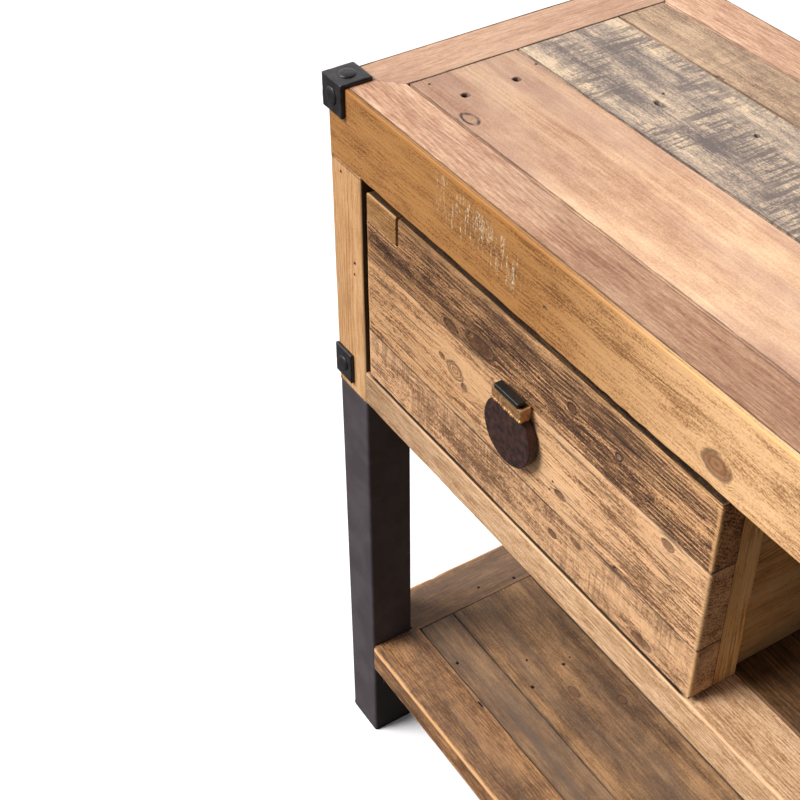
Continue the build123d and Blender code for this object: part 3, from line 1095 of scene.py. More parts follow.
    def skin(self, grid: list[np.ndarray]) -> tuple[np.ndarray, np.ndarray]:
        """The grid's outer points and the faces between them.

        Args:
            grid: the positions along each edge.
        Returns:
            The points, and four point numbers for each face.
        """
        counts = [len(lines) for lines in grid]
        quads = []
        for axis in range(3):
            others = [a for a in range(3) if a != axis]
            m, n = counts[others[0]], counts[others[1]]
            i, j = np.meshgrid(np.arange(m - 1), np.arange(n - 1), indexing="ij")
            for side in (0, counts[axis] - 1):
                ring = []
                for di, dj in ((0, 0), (1, 0), (1, 1), (0, 1)):
                    index = {axis: np.full(i.shape, side), others[0]: i + di, others[1]: j + dj}
                    number = (index[0] * counts[1] + index[1]) * counts[2] + index[2]
                    ring.append(number.ravel())
                quad = np.stack(ring, 1)
                quads.append(quad if (side == 0) == (axis == 1) else quad[:, ::-1])
        ids, faces = np.unique(np.concatenate(quads), return_inverse=True)
        number = (ids // (counts[1] * counts[2]), ids // counts[2] % counts[1], ids % counts[2])
        flat = np.stack([grid[axis][number[axis]] for axis in range(3)], 1)
        return flat, faces.reshape(-1, 4)

    def sink(
        self, hole: Hole, centre: np.ndarray, flat: np.ndarray, shaped: np.ndarray
    ) -> np.ndarray:
        """Rounds the grid at a hole and sinks it.

        Args:
            hole: the hole.
            centre: its centre along the edges.
            flat: the points before any shaping.
            shaped: the shaped points, which are moved.
        Returns:
            How dark the hole makes each point.
        """
        facing = self.facing(centre)
        at_far = centre[facing] > self.size[facing] / 2
        level = self.size[facing] if at_far else 0.0
        plane = [axis for axis in range(3) if axis != facing]
        reach = np.array([self.reach(hole, axis) for axis in plane])
        away = (flat[:, plane] - centre[plane]) / reach
        square = np.abs(away).max(1)
        round_out = square / np.maximum(np.linalg.norm(away, axis=1), 1e-9)
        share = np.clip((1.7 - square) / 0.7, 0, 1)
        on_face = (np.abs(flat[:, facing] - level) < 1e-7) & (square < 1.7)
        ragged = 1 + 0.25 * (smooth_noise(flat + self.origin, 900, self.seed + 3) - 0.5)
        factor = (1 + (round_out * ragged - 1) * share)[:, None]
        moved = centre[plane] + away * reach * factor
        for position, axis in enumerate(plane):
            shaped[:, axis] = np.where(on_face, moved[:, position], shaped[:, axis])
        depth = np.clip((1.02 - square) / 0.2, 0, 1) * hole.depth
        shaped[:, facing] += np.where(on_face, -depth if at_far else depth, 0)
        return np.where(on_face, np.clip((1.15 - square) / 0.25, 0, 1), 0)

    def round_plan(self, shaped: np.ndarray) -> None:
        """Rounds the corners on the table's outside, seen from above.

        Args:
            shaped: the shaped points, which are moved.
        """
        bend = self.sawn.plan_round
        for side in (0, 1):
            if not self.rounded_side(side):
                continue
            along = np.minimum(shaped[:, 0], self.size[0] - shaped[:, 0])
            across = shaped[:, 1] if side == 0 else self.size[1] - shaped[:, 1]
            dx, dy = bend - along, bend - across
            inside = (dx > 0) & (dy > 0)
            scale = np.maximum(dx, dy) / np.maximum(np.hypot(dx, dy), 1e-9)
            new_along = np.where(inside, bend - dx * scale, along)
            new_across = np.where(inside, bend - dy * scale, across)
            left = shaped[:, 0] < self.size[0] / 2
            shaped[:, 0] = np.where(left, new_along, self.size[0] - new_along)
            shaped[:, 1] = new_across if side == 0 else self.size[1] - new_across

    def rounded_side(self, side: int) -> bool:
        """Whether a long side is the one on the table's outside.

        Args:
            side: 0 for the side at 0, and 1 for the one at full width.
        Returns:
            True if it is further out than the other.
        """
        axis = self.order[1]
        centre = (CAD_BOX[0][axis] + CAD_BOX[1][axis]) / 2
        middle, other = (self.corners[:, s].mean((0, 1))[axis] for s in (side, 1 - side))
        return abs(middle - centre) > abs(other - centre)

    def build(self) -> tuple[np.ndarray, np.ndarray, dict[str, np.ndarray]]:
        """Builds the stick's surface.

        Returns:
            Its points, its four-sided faces, and its stored attributes.
        """
        sawn = self.sawn
        sunk = [(hole, self.local(hole.centre)) for hole in sawn.holes]
        flat, faces = self.skin(self.grid(sunk))
        gaps = np.sort(np.minimum(flat, self.size - flat), axis=1)
        radius, exposed = self.radius_at(flat)
        radius = np.minimum(radius, self.size.min() * 0.45)[:, None]
        inside = np.clip(flat, radius, self.size - radius)
        offset = (flat - inside) / radius
        length = np.maximum(np.linalg.norm(offset, axis=1, keepdims=True), 1e-9)
        shaped = np.where(length > 1, inside + offset / length * radius, flat)
        pit = np.zeros(len(flat))
        for hole, centre in sunk:
            pit = np.maximum(pit, self.sink(hole, centre, flat, shaped))
        # Painted shade: whole faces that sit in gaps are darkened, away from their arrises.
        for key, stain in sawn.stains.items():
            axis = self.order.index("XYZ".index(key[1]))
            away = self.size[axis] - flat[:, axis] if key[0] == "+" else flat[:, axis]
            on_face = (away < 0.01 * MM) & (gaps[:, 1] > 1.2 * MM)
            pit = np.maximum(pit, np.where(on_face, stain, 0))
        if sawn.plan_round:
            self.round_plan(shaped)
        places = self.world(shaped)
        # Painted shadow: points inside the shaded box are darkened.
        if sawn.shaded:
            low, high = np.array(sawn.shaded)
            within = np.all((places > low) & (places < high), axis=1)
            pit = np.maximum(pit, np.where(within, self.shade_pit, 0))
        for axis in range(3):
            wave = smooth_noise(places, 26, self.seed + 11 + axis) - 0.5
            places[:, axis] += sawn.waviness * wave
        for point, outward in sawn.cuts:
            normal = np.array(outward) / np.linalg.norm(outward)
            beyond = np.maximum((places - np.array(point)) @ normal, 0)
            places -= beyond[:, None] * normal
        # The notch is pressed back and darkened with painted shade.
        if sawn.notch:
            low, high = np.array(sawn.notch)
            notched = (places[:, 0] < high[0]) & (places[:, 2] > low[2]) & (places[:, 1] < high[1])
            places[:, 1] = np.where(notched, high[1], places[:, 1])
            pit = np.where(notched, self.notch_pit, pit)
        marks = {"grain": flat + self.origin, "arris": gaps[:, 1], "pit": pit, "exposed": exposed}
        return places, faces, marks


def timber(
    node: str,
    finish: WoodFinish,
    slot: str,
    sawn: Sawn | Sequence[Sawn],
    body: Body = Body.TABLE,
    knots: Sequence[Knot] = (),
    marks: Sequence[Scratches] = (),
    tints: Sequence[float] = (0.0,),
) -> bpy.types.Object:
    """Builds one wooden node, of one or more sticks, in place of its CAD node.

    Args:
        node: the CAD node.
        finish: its wood.
        slot: the record's material slot; not used.
        sawn: how its sticks are cut, one for all or one for each.
        body: the body that it moves with.
        knots: knots, each on its nearest stick.
        marks: patches of scratches.
        tints: extra greyness of each stick, used in turn.
    Returns:
        The new piece.
    """
    cuts = [sawn] if isinstance(sawn, Sawn) else sawn
    seed = sum(ord(letter) * (place + 3) for place, letter in enumerate(node))
    points, faces, sticks = [], [], []
    stored: dict[str, list[np.ndarray]] = {}
    count = 0
    for index, cloud in enumerate(shells(node)):
        stick = Stick(cloud, cuts[index % len(cuts)], seed + 31 * index)
        places, quads, attributes = stick.build()
        attributes["tint"] = np.full(len(places), tints[index % len(tints)])
        points.append(places)
        faces.append(quads + count)
        count += len(places)
        for key, values in attributes.items():
            stored.setdefault(key, []).append(values)
        low, high = cloud.min(0), cloud.max(0)
        sticks.append((stick, (low + high) / 2, (high - low) / 2))
    settled = []
    for knot in knots:
        gaps = [np.maximum(np.abs(np.array(knot.centre) - s[1]) - s[2], 0).sum() for s in sticks]
        settled.append((knot, sticks[int(np.argmin(gaps))][0].grain_at(knot.centre)))
    marked = {key: np.concatenate(values) for key, values in stored.items()}
    mesh = fresh_mesh(f"{node}_mesh", np.concatenate(points), np.concatenate(faces), marked)
    if any(cut.notch or cut.cuts for cut in cuts):
        tidy_mesh(mesh)
    material = finish.dress(f"{finish.name}_{node}", settled, marks)
    return put(f"{node}_timber", mesh, material, body, node)


def tidy_mesh(mesh: bpy.types.Mesh) -> None:
    """Removes faces that were pressed flat.

    Args:
        mesh: the mesh, which is changed.
    """
    work = bmesh.new()
    work.from_mesh(mesh)
    bmesh.ops.remove_doubles(work, verts=work.verts, dist=2e-6)
    bmesh.ops.dissolve_degenerate(work, edges=work.edges, dist=2e-6)
    work.to_mesh(mesh)
    work.free()


@dataclass(frozen=True)
class Casting:
    """A cast or hammered piece: a CAD node fused at a fine grain, softened and dented.

    voxel is the grain that it is rebuilt at, passes how often it is smoothed, dent how far the
    hammer's marks go in, seed which marks it has, and beads are small balls melted into it.
    """

    node: str
    voxel: float
    passes: int
    dent: float
    seed: int
    beads: Sequence[tuple[Point, float]] = ()

    def mesh(self) -> bpy.types.Mesh:
        """Makes the mesh, with each point's distance to its solid's nearest arris stored.

        Returns:
            The mesh.
        """
        mesh = self.fused()
        points = np.zeros(len(mesh.vertices) * 3)
        mesh.vertices.foreach_get("co", points)
        points = points.reshape(-1, 3)
        arris = np.full(len(points), 1.0)
        for cloud in shells(self.node):
            low, high = cloud.min(0), cloud.max(0)
            inside = np.all((points > low - 2 * MM) & (points < high + 2 * MM), axis=1)
            gaps = np.sort(np.minimum(np.abs(points - low), np.abs(high - points)), axis=1)
            arris = np.where(inside, gaps[:, 1], arris)
        for axis in range(3):
            points[:, axis] += self.dent * (smooth_noise(points, 170, self.seed + axis) - 0.5)
        mesh.vertices.foreach_set("co", points.ravel())
        mesh.polygons.foreach_set("use_smooth", np.ones(len(mesh.polygons), bool))
        store(mesh, {"arris": arris})
        mesh.update()
        return mesh

    def fused(self) -> bpy.types.Mesh:
        """Fuses the node's solids and the beads into one soft skin.

        Returns:
            The mesh.
        """
        work = bmesh.new()
        work.from_mesh(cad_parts[self.node].data)
        bmesh.ops.remove_doubles(work, verts=work.verts, dist=1e-6)
        for centre, radius in self.beads:
            place = Matrix.Translation(centre)
            bmesh.ops.create_icosphere(work, subdivisions=2, radius=radius, matrix=place)
        rough = bpy.data.meshes.new("rough")
        work.to_mesh(rough)
        work.free()
        holder = bpy.data.objects.new("holder", rough)
        bpy.context.scene.collection.objects.link(holder)
        remesh = holder.modifiers.new("fuse", "REMESH")
        remesh.mode = "VOXEL"
        remesh.voxel_size = self.voxel
        soften = holder.modifiers.new("soften", "SMOOTH")
        soften.factor = 0.5
        soften.iterations = self.passes
        bpy.context.view_layer.update()
        graph = bpy.context.evaluated_depsgraph_get()
        mesh = bpy.data.meshes.new_from_object(holder.evaluated_get(graph))
        mesh.name = f"{self.node}_mesh"
        bpy.data.objects.remove(holder)
        bpy.data.meshes.remove(rough)
        return mesh


# ------------------------------------------------------------------ woods
# The colours multiplied in along X in these woods are painted shade that darkens one end.
TOP_FRAME = WoodFinish(
    "top_frame_wood", (161, 114, 87), (205, 158, 128), (237, 199, 168), ring=2.2 * MM,
    ring_share=-0.2, fibre_share=0.5, cloud_share=0.3, streaks=0.35, streak_colour=(150, 112, 92),
    greyness=0.25, grey=(176, 144, 124), edge=(240, 204, 170), edge_width=1.6 * MM, edge_share=0.6,
    relief=0.22, aged=(208, 200, 192), aged_from=-0.48, aged_to=-0.05,
)
TOP_PINK = WoodFinish(
    "top_pink_wood", (171, 123, 95), (220, 176, 141), (254, 216, 175), ring=5 * MM, ring_share=-0.1,
    wander=9.0, fibre_share=0.18, cloud_share=0.4, streaks=0.1, streak_colour=(140, 100, 84),
    greyness=0.4, grey=(184, 148, 134), edge=(226, 176, 130), edge_width=1.4 * MM, edge_share=0.5,
    relief=0.18, aged=(216, 214, 218),
)
TOP_GREY = WoodFinish(
    "top_grey_wood", (104, 92, 88), (178, 156, 138), (232, 204, 170), ring=3 * MM, ring_share=-0.12,
    fibre_share=0.35, cloud_share=0.6, streaks=0.3, streak_colour=(84, 70, 64), greyness=0.4,
    grey=(132, 122, 116), saw=0.85, saw_spacing=4 * MM, edge=(214, 184, 152), edge_width=2 * MM,
    edge_share=0.6, relief=0.35, speckle=0.6,
)
TOP_UMBER = WoodFinish(
    "top_umber_wood", (116, 92, 74), (177, 145, 117), (214, 181, 148), ring=3.2 * MM,
    ring_share=-0.15, fibre_share=0.45, cloud_share=0.5, streaks=0.4, greyness=0.3,
    grey=(146, 126, 108), saw=0.3, edge=(216, 180, 140), edge_width=2 * MM, relief=0.3, speckle=0.6,
)
HONEY = WoodFinish(
    "honey_wood", (158, 113, 72), (246, 196, 144), (251, 208, 158), ring=3.6 * MM, ring_share=-0.12,
    wander=4.0, fibre_share=0.4, cloud_share=0.45, streaks=0.4, streak_colour=(138, 96, 62),
    greyness=0.12, grey=(160, 124, 88), edge=(242, 172, 84), edge_width=4.5 * MM, edge_share=0.85,
    relief=0.3, aged=(185, 163, 128), speckle=0.6, aged_from=0.05, aged_to=-0.24,
    knot_colour=(120, 74, 48),
)
POST = WoodFinish(
    "post_wood", (180, 127, 79), (220, 171, 121), (242, 201, 157), ring=2.6 * MM, ring_share=-0.35,
    fibre_share=0.4, cloud_share=0.35, streaks=0.3, streak_colour=(140, 96, 60), greyness=0.15,
    grey=(150, 126, 100), edge=(236, 186, 128), edge_width=2.5 * MM, relief=0.3,
    aged=(238, 232, 224),
)
PALE = WoodFinish(
    "pale_wood", (157, 114, 78), (208, 166, 124), (235, 197, 161), ring=2.8 * MM, ring_share=-0.12,
    fibre_share=0.7, cloud_share=0.35, streaks=0.6, streak_colour=(150, 104, 70), greyness=0.1,
    grey=(206, 170, 140), edge=(240, 182, 120), edge_width=3 * MM, edge_share=0.7, relief=0.4,
    aged=(214, 212, 212), speckle=0.5,
)
PANEL = WoodFinish(
    "panel_wood", (84, 58, 38), (138, 100, 66), (178, 136, 92), ring=4 * MM, fibre_share=0.45,
    streaks=0.45, greyness=0.3, saw=0.3, edge=(190, 146, 98), relief=0.4,
)
FLOOR_WOOD = WoodFinish(
    "floor_wood", (66, 44, 28), (112, 78, 48), (156, 114, 72), ring=4 * MM, fibre_share=0.5,
    streaks=0.5, streak_colour=(48, 32, 22), greyness=0.3, grey=(104, 84, 66), edge=(170, 126, 80),
    relief=0.45,
)
# Tones raised to stand in for light reaching the divider in the open bay: painted light.
DIVIDER = WoodFinish(
    "divider_wood", (186, 132, 74), (248, 198, 128), (252, 216, 160), ring=3 * MM, ring_share=0.35,
    fibre_share=0.4, streaks=0.35, greyness=0.15, edge=(196, 154, 104), relief=0.35,
)
DRAWER_DARK = WoodFinish(
    "drawer_dark_wood", (70, 47, 36), (150, 108, 76), (226, 174, 124), ring=3.6 * MM,
    ring_share=0.4, wander=3.2, fibre_share=0.8, cloud_share=0.7, streaks=0.85,
    streak_colour=(60, 40, 28), greyness=0.45, grey=(112, 82, 58), edge=(240, 186, 124),
    edge_width=4.5 * MM, edge_share=0.95, rough=0.55, relief=0.9, speckle=0.9, aged=(214, 208, 200),
    aged_from=-0.1, aged_to=-0.42, gloss=0.25,
)
DRAWER_TAN = WoodFinish(
    "drawer_tan_wood", (128, 90, 60), (232, 178, 131), (240, 194, 148), ring=3.4 * MM,
    ring_share=-0.25, wander=4.5, fibre_share=0.7, cloud_share=0.75, streaks=0.7,
    streak_colour=(92, 66, 46), greyness=0.25, grey=(140, 114, 88), edge=(240, 186, 124),
    edge_width=4.5 * MM, edge_share=0.95, relief=0.85, speckle=0.85, aged=(232, 226, 216),
    aged_from=-0.1, aged_to=-0.42,
)
DRAWER_LOW = WoodFinish(
    "drawer_low_wood", (116, 82, 56), (210, 160, 118), (236, 188, 142), ring=3 * MM,
    ring_share=-0.2, wander=6, fibre_share=0.7, cloud_share=0.85, streaks=0.6,
    streak_colour=(98, 72, 52), greyness=0.25, grey=(150, 120, 92), saw=0.5, saw_spacing=3.5 * MM,
    edge=(240, 186, 124), edge_width=4.5 * MM, edge_share=0.95, relief=0.85, speckle=0.9, seam=0.95,
)
PATCH = WoodFinish(
    "patch_wood", (99, 63, 32), (155, 109, 61), (181, 139, 90), ring=2.4 * MM, ring_share=0.3,
    fibre_share=0.6, cloud_share=0.5, streaks=0.4, streak_colour=(90, 60, 36), greyness=0.2,
    grey=(132, 98, 64), edge=(214, 164, 104), edge_width=2 * MM, edge_share=0.6, relief=0.6,
    speckle=0.6,
)
BOX_WOOD = WoodFinish(
    "box_wood", (196, 156, 108), (222, 186, 140), (238, 208, 168), ring=4 * MM, fibre_share=0.3,
    cloud_share=0.3, streaks=0.12, streak_colour=(176, 134, 92), greyness=0.0, edge=(238, 208, 168),
    relief=0.15,
)
SHELF_FRAME = WoodFinish(
    "shelf_frame_wood", (81, 54, 34), (138, 97, 63), (190, 140, 94), ring=3.6 * MM, ring_share=-0.2,
    fibre_share=0.65, cloud_share=0.6, streaks=0.5, streak_colour=(90, 64, 44), greyness=0.4,
    grey=(112, 92, 78), saw=0.2, edge=(240, 186, 128), edge_width=4 * MM, edge_share=0.85,
    relief=0.5, speckle=0.45,
)
SHELF_PLANK = WoodFinish(
    "shelf_plank_wood", (83, 59, 41), (136, 100, 68), (180, 138, 97), ring=4.5 * MM,
    ring_share=-0.12, wander=6, fibre_share=0.35, cloud_share=0.6, streaks=0.25,
    streak_colour=(66, 48, 36), greyness=0.4, grey=(108, 92, 80), edge=(180, 138, 92),
    edge_width=2 * MM, edge_share=0.5, relief=0.4, speckle=0.4,
)
RUNNER_WOOD = replace(BOX_WOOD, name="runner_wood", seam=0.0, carried=True)

# ------------------------------------------------------------------ metals
CAP_IRON = MetalFinish(
    "cap_iron", (30, 28, 31), (50, 47, 51), metallic=0.3, rough=0.34, cloud_scale=110,
    worn=(156, 148, 142), worn_width=0.5 * MM, worn_share=0.6, rust=(84, 52, 38), rust_share=0.3,
    dents=0.35, dent_scale=240, gloss=0.45,
)
LEG_STEEL = MetalFinish(
    "leg_steel", (68, 62, 66), (80, 74, 78), metallic=0.0, rough=0.42, cloud_scale=26, dents=0.12,
    dent_scale=420, dent_depth=0.15 * MM, gloss=0.2,
)
PATINA = MetalFinish(
    "patina_iron", (34, 20, 18), (72, 42, 36), metallic=0.2, rough=0.5, cloud_scale=170,
    rust=(104, 58, 42), rust_share=0.5, dents=0.4, dent_scale=380, dent_depth=0.3 * MM,
)
BRASS = MetalFinish(
    "brass_tan", (146, 104, 66), (196, 152, 104), metallic=0.55, rough=0.42, cloud_scale=240,
    rust=(104, 62, 34), rust_share=0.5, dents=0.3, dent_scale=500, dent_depth=0.25 * MM,
)
GLOSS = MetalFinish(
    "black_gloss", (14, 13, 14), (24, 22, 22), metallic=0.1, rough=0.32, cloud_scale=200,
    worn=(104, 56, 38), worn_width=0.35 * MM, worn_share=0.7, dents=0.15, dent_scale=500,
    dent_depth=0.15 * MM, coat=0.15,
)
PLAIN_STEEL = MetalFinish(
    "plain_steel", (150, 150, 152), (172, 172, 174), metallic=0.9, rough=0.35, cloud_scale=300,
    dents=0.1,
)
PLASTIC = MetalFinish(
    "glide_plastic", (34, 34, 36), (42, 42, 44), metallic=0.0, rough=0.5, cloud_scale=200,
    dents=0.1,
)

COARSE = Sawn(step=30 * MM, waviness=0.1 * MM)


@dataclass
class Top:
    """The table's top: a mitred frame round three planks, on battens."""

    joint_front: float = 4.0 * MM
    joint_back: float = 0.8 * MM
    step: float = 7 * MM

    def build(self) -> None:
        """Builds the frame boards, planks and battens."""
        self.frame_boards()
        plank = Sawn(step=self.step, arris=0.9 * MM)
        face = Face(2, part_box("top_plank_front")[1][2])
        holes = face.holes(
            (-0.4193, -0.1045, 3.6, 7),
            (-0.4180, -0.0537, 3.6, 7),
            (-0.4510, -0.1195, 1.3, 2),
            (-0.4300, -0.0250, 1.2, 2),
            (0.3120, -0.0900, 3.6, 7),
            (0.3180, -0.0420, 3.6, 7),
        )
        knots = face.knots(
            (-0.3856, -0.1235, 5.2, KnotKind.RING, 1.9),
            (0.1400, -0.0700, 9, KnotKind.SWIRL, 1.6),
        )
        sawn = replace(plank, holes=holes)
        timber("top_plank_front", TOP_PINK, "wood_top_pink", sawn, knots=knots)
        holes = face.holes(
            (-0.3205, 0.0197, 3.4, 6, 1.7),
            (-0.3320, 0.0330, 1.4, 2),
            (-0.2400, 0.0520, 2.4, 5),
            (0.2150, 0.0100, 3.4, 6),
        )
        knots = face.knots((0.05, 0.045, 10, KnotKind.EYE, 1.5))
        sawn = replace(plank, rounds={"+Y+Z": 2.4 * MM}, holes=holes)
        timber("top_plank_middle", TOP_GREY, "wood_top_grey", sawn, knots=knots)
        holes = face.holes((-0.3262, 0.0885, 3.0, 6, 1.4), (0.3300, 0.1150, 3.4, 6))
        timber("top_plank_back", TOP_UMBER, "wood_top_umber", replace(plank, holes=holes))
        timber("top_battens", PANEL, "wood_panel", COARSE)

    def frame_boards(self) -> None:
        """Builds the mitred frame; its joint with the rails lies a little in from the arris."""
        board = Sawn(step=self.step, arris=0.7 * MM, end_arris=0.35 * MM)
        for side in Side:
            back = self.joint_front if side is Side.FRONT else self.joint_back
            shift = dict.fromkeys(side.top_corners(side.sign), side.outward(-back))
            rounds, tints = {}, (0.3,)
            if side.axis == 1:
                rounds = {f"{side.outer}+Z": 0.5 * MM, f"{side.inner}+Z": 1.3 * MM}
                tints = (0.0,)
            sawn = replace(board, rounds=rounds, shift=shift)
            timber(f"top_board_{side.label}", TOP_FRAME, "wood_top_frame", sawn, tints=tints)


@dataclass
class BoxFrame:
    """The box under the top: rails, posts, side boards, floor, divider and drawer guides."""

    joint_front: float = 4.0 * MM
    joint_back: float = 0.8 * MM

    def build(self) -> None:
        """Builds every fixed wooden piece of the box."""
        self.top_rails()
        self.posts()
        self.bottom_rails()
        board = Sawn(step=12 * MM, arris=1.2 * MM)
        for side in ("left", "right"):
            timber(f"side_boards_{side}", PANEL, "wood_panel", board, tints=(0.1, 0.0, 0.35))
        timber("back_boards", PANEL, "wood_panel", board, tints=(0.3, 0.0, 0.15))
        plank = Sawn(step=9 * MM, arris=1.8 * MM)
        timber("floor_planks", FLOOR_WOOD, "wood_floor", plank, tints=(0.05, 0.3, 0.0))
        timber("floor_battens", PANEL, "wood_panel", COARSE)
        timber("divider_post", DIVIDER, "wood_divider", Sawn(step=9 * MM, arris=1.6 * MM))
        panel = Sawn(step=12 * MM, arris=1.0 * MM)
        timber("divider_panel", DIVIDER, "wood_divider", panel, tints=(0.3,))
        for node in ("drawer_kickers", "drawer_stops"):
            timber(node, BOX_WOOD, "wood_box", COARSE)

    def top_rails(self) -> None:
        """Builds the upper rails, which reach up to the top's joint line."""
        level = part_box("rail_top_front")[0][1]
        front, back = Face(1, level), Face(1, -level + 7 * MM)
        holes = {Side.FRONT: front.holes((-0.1986, 0.788, 1.2, 1.2, 2.0))}
        knots = {
            Side.FRONT: front.knots(
                (-0.0085, 0.780, 9.5, KnotKind.EYE, 1.35), (0.270, 0.795, 7, KnotKind.SWIRL)
            ),
            Side.BACK: back.knots((0.15, 0.79, 9)),
        }
        marks = {Side.FRONT: (Scratches((-0.344, 0, 0.786), (-0.232, 0, 0.833), 0.12),)}
        for side in Side:
            node = f"rail_top_{side.label}"
            shift = dict.fromkeys(side.top_corners(-side.sign), self.inner_top(node, side))
            sawn = Sawn(
                step=7 * MM,
                arris=0.5 * MM,
                end_arris=0.4 * MM,
                rounds={f"{side.outer}+Z": 2.8 * MM, f"{side.outer}-Z": 2.2 * MM},
                shift=shift,
                holes=holes.get(side, ()),
            )
            pieces = {"knots": knots.get(side, ()), "marks": marks.get(side, ())}
            timber(node, HONEY, "wood_honey", sawn, **pieces)

    def inner_top(self, node: str, side: Side) -> Point:
        """How far a rail's inner top arris goes up and out, to meet the top's joint line.

        Args:
            node: the rail.
            side: the side that it is on.
        Returns:
            The move.
        """
        low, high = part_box(node)
        thick = high[side.axis] - low[side.axis]
        joint = self.joint_front if side is Side.FRONT else self.joint_back
        out = side.outward(thick - joint)
        return (out[0], out[1], thick)

    def posts(self) -> None:
        """Builds the four corner posts, inner faces in painted shade, nail holes in the front left
        one.
        """
        nails = Face(1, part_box("rail_top_front")[0][1]).holes(
            (-0.4937, 0.7486, 1.6, 3), (-0.4745, 0.6618, 1.8, 3), (-0.4752, 0.6492, 1.5, 3)
        )
        for corner in CORNERS:
            outer = "-Y" if "front" in corner else "+Y"
            inner = "+X" if "left" in corner else "-X"
            sawn = Sawn(
                step=7 * MM,
                arris=1.2 * MM,
                end_arris=0.4 * MM,
                rounds={f"{inner}{outer}": 2.6 * MM},
                # Painted shade on each post's inner face, in the gaps inside the box.
                stains={inner: 0.88},
                holes=nails if corner == "front_left" else (),
            )
            timber(f"post_{corner}", POST, "wood_post", sawn)

    def bottom_rails(self) -> None:
        """Builds the lower rails, the front one with a painted shadow under the drawer."""
        low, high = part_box("drawer_front_bottom")
        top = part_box("rail_bottom_front")[1][2]
        # Painted shadow on the front rail's top, under the drawer's lower edge.
        shaded = {
            Side.FRONT: (
                (low[0] - 2 * MM, low[1] + 1.4 * MM, top - 1 * MM),
                (high[0] - 4 * MM, high[1] + 2 * MM, top + 1 * MM),
            )
        }
        for side in Side:
            sawn = Sawn(
                arris=1.3 * MM,
                end_arris=0.4 * MM,
                rounds={f"{side.outer}+Z": 2.2 * MM, f"{side.outer}-Z": 1.8 * MM},
                shaded=shaded.get(side),
            )
            timber(f"rail_bottom_{side.label}", PALE, "wood_pale", sawn)


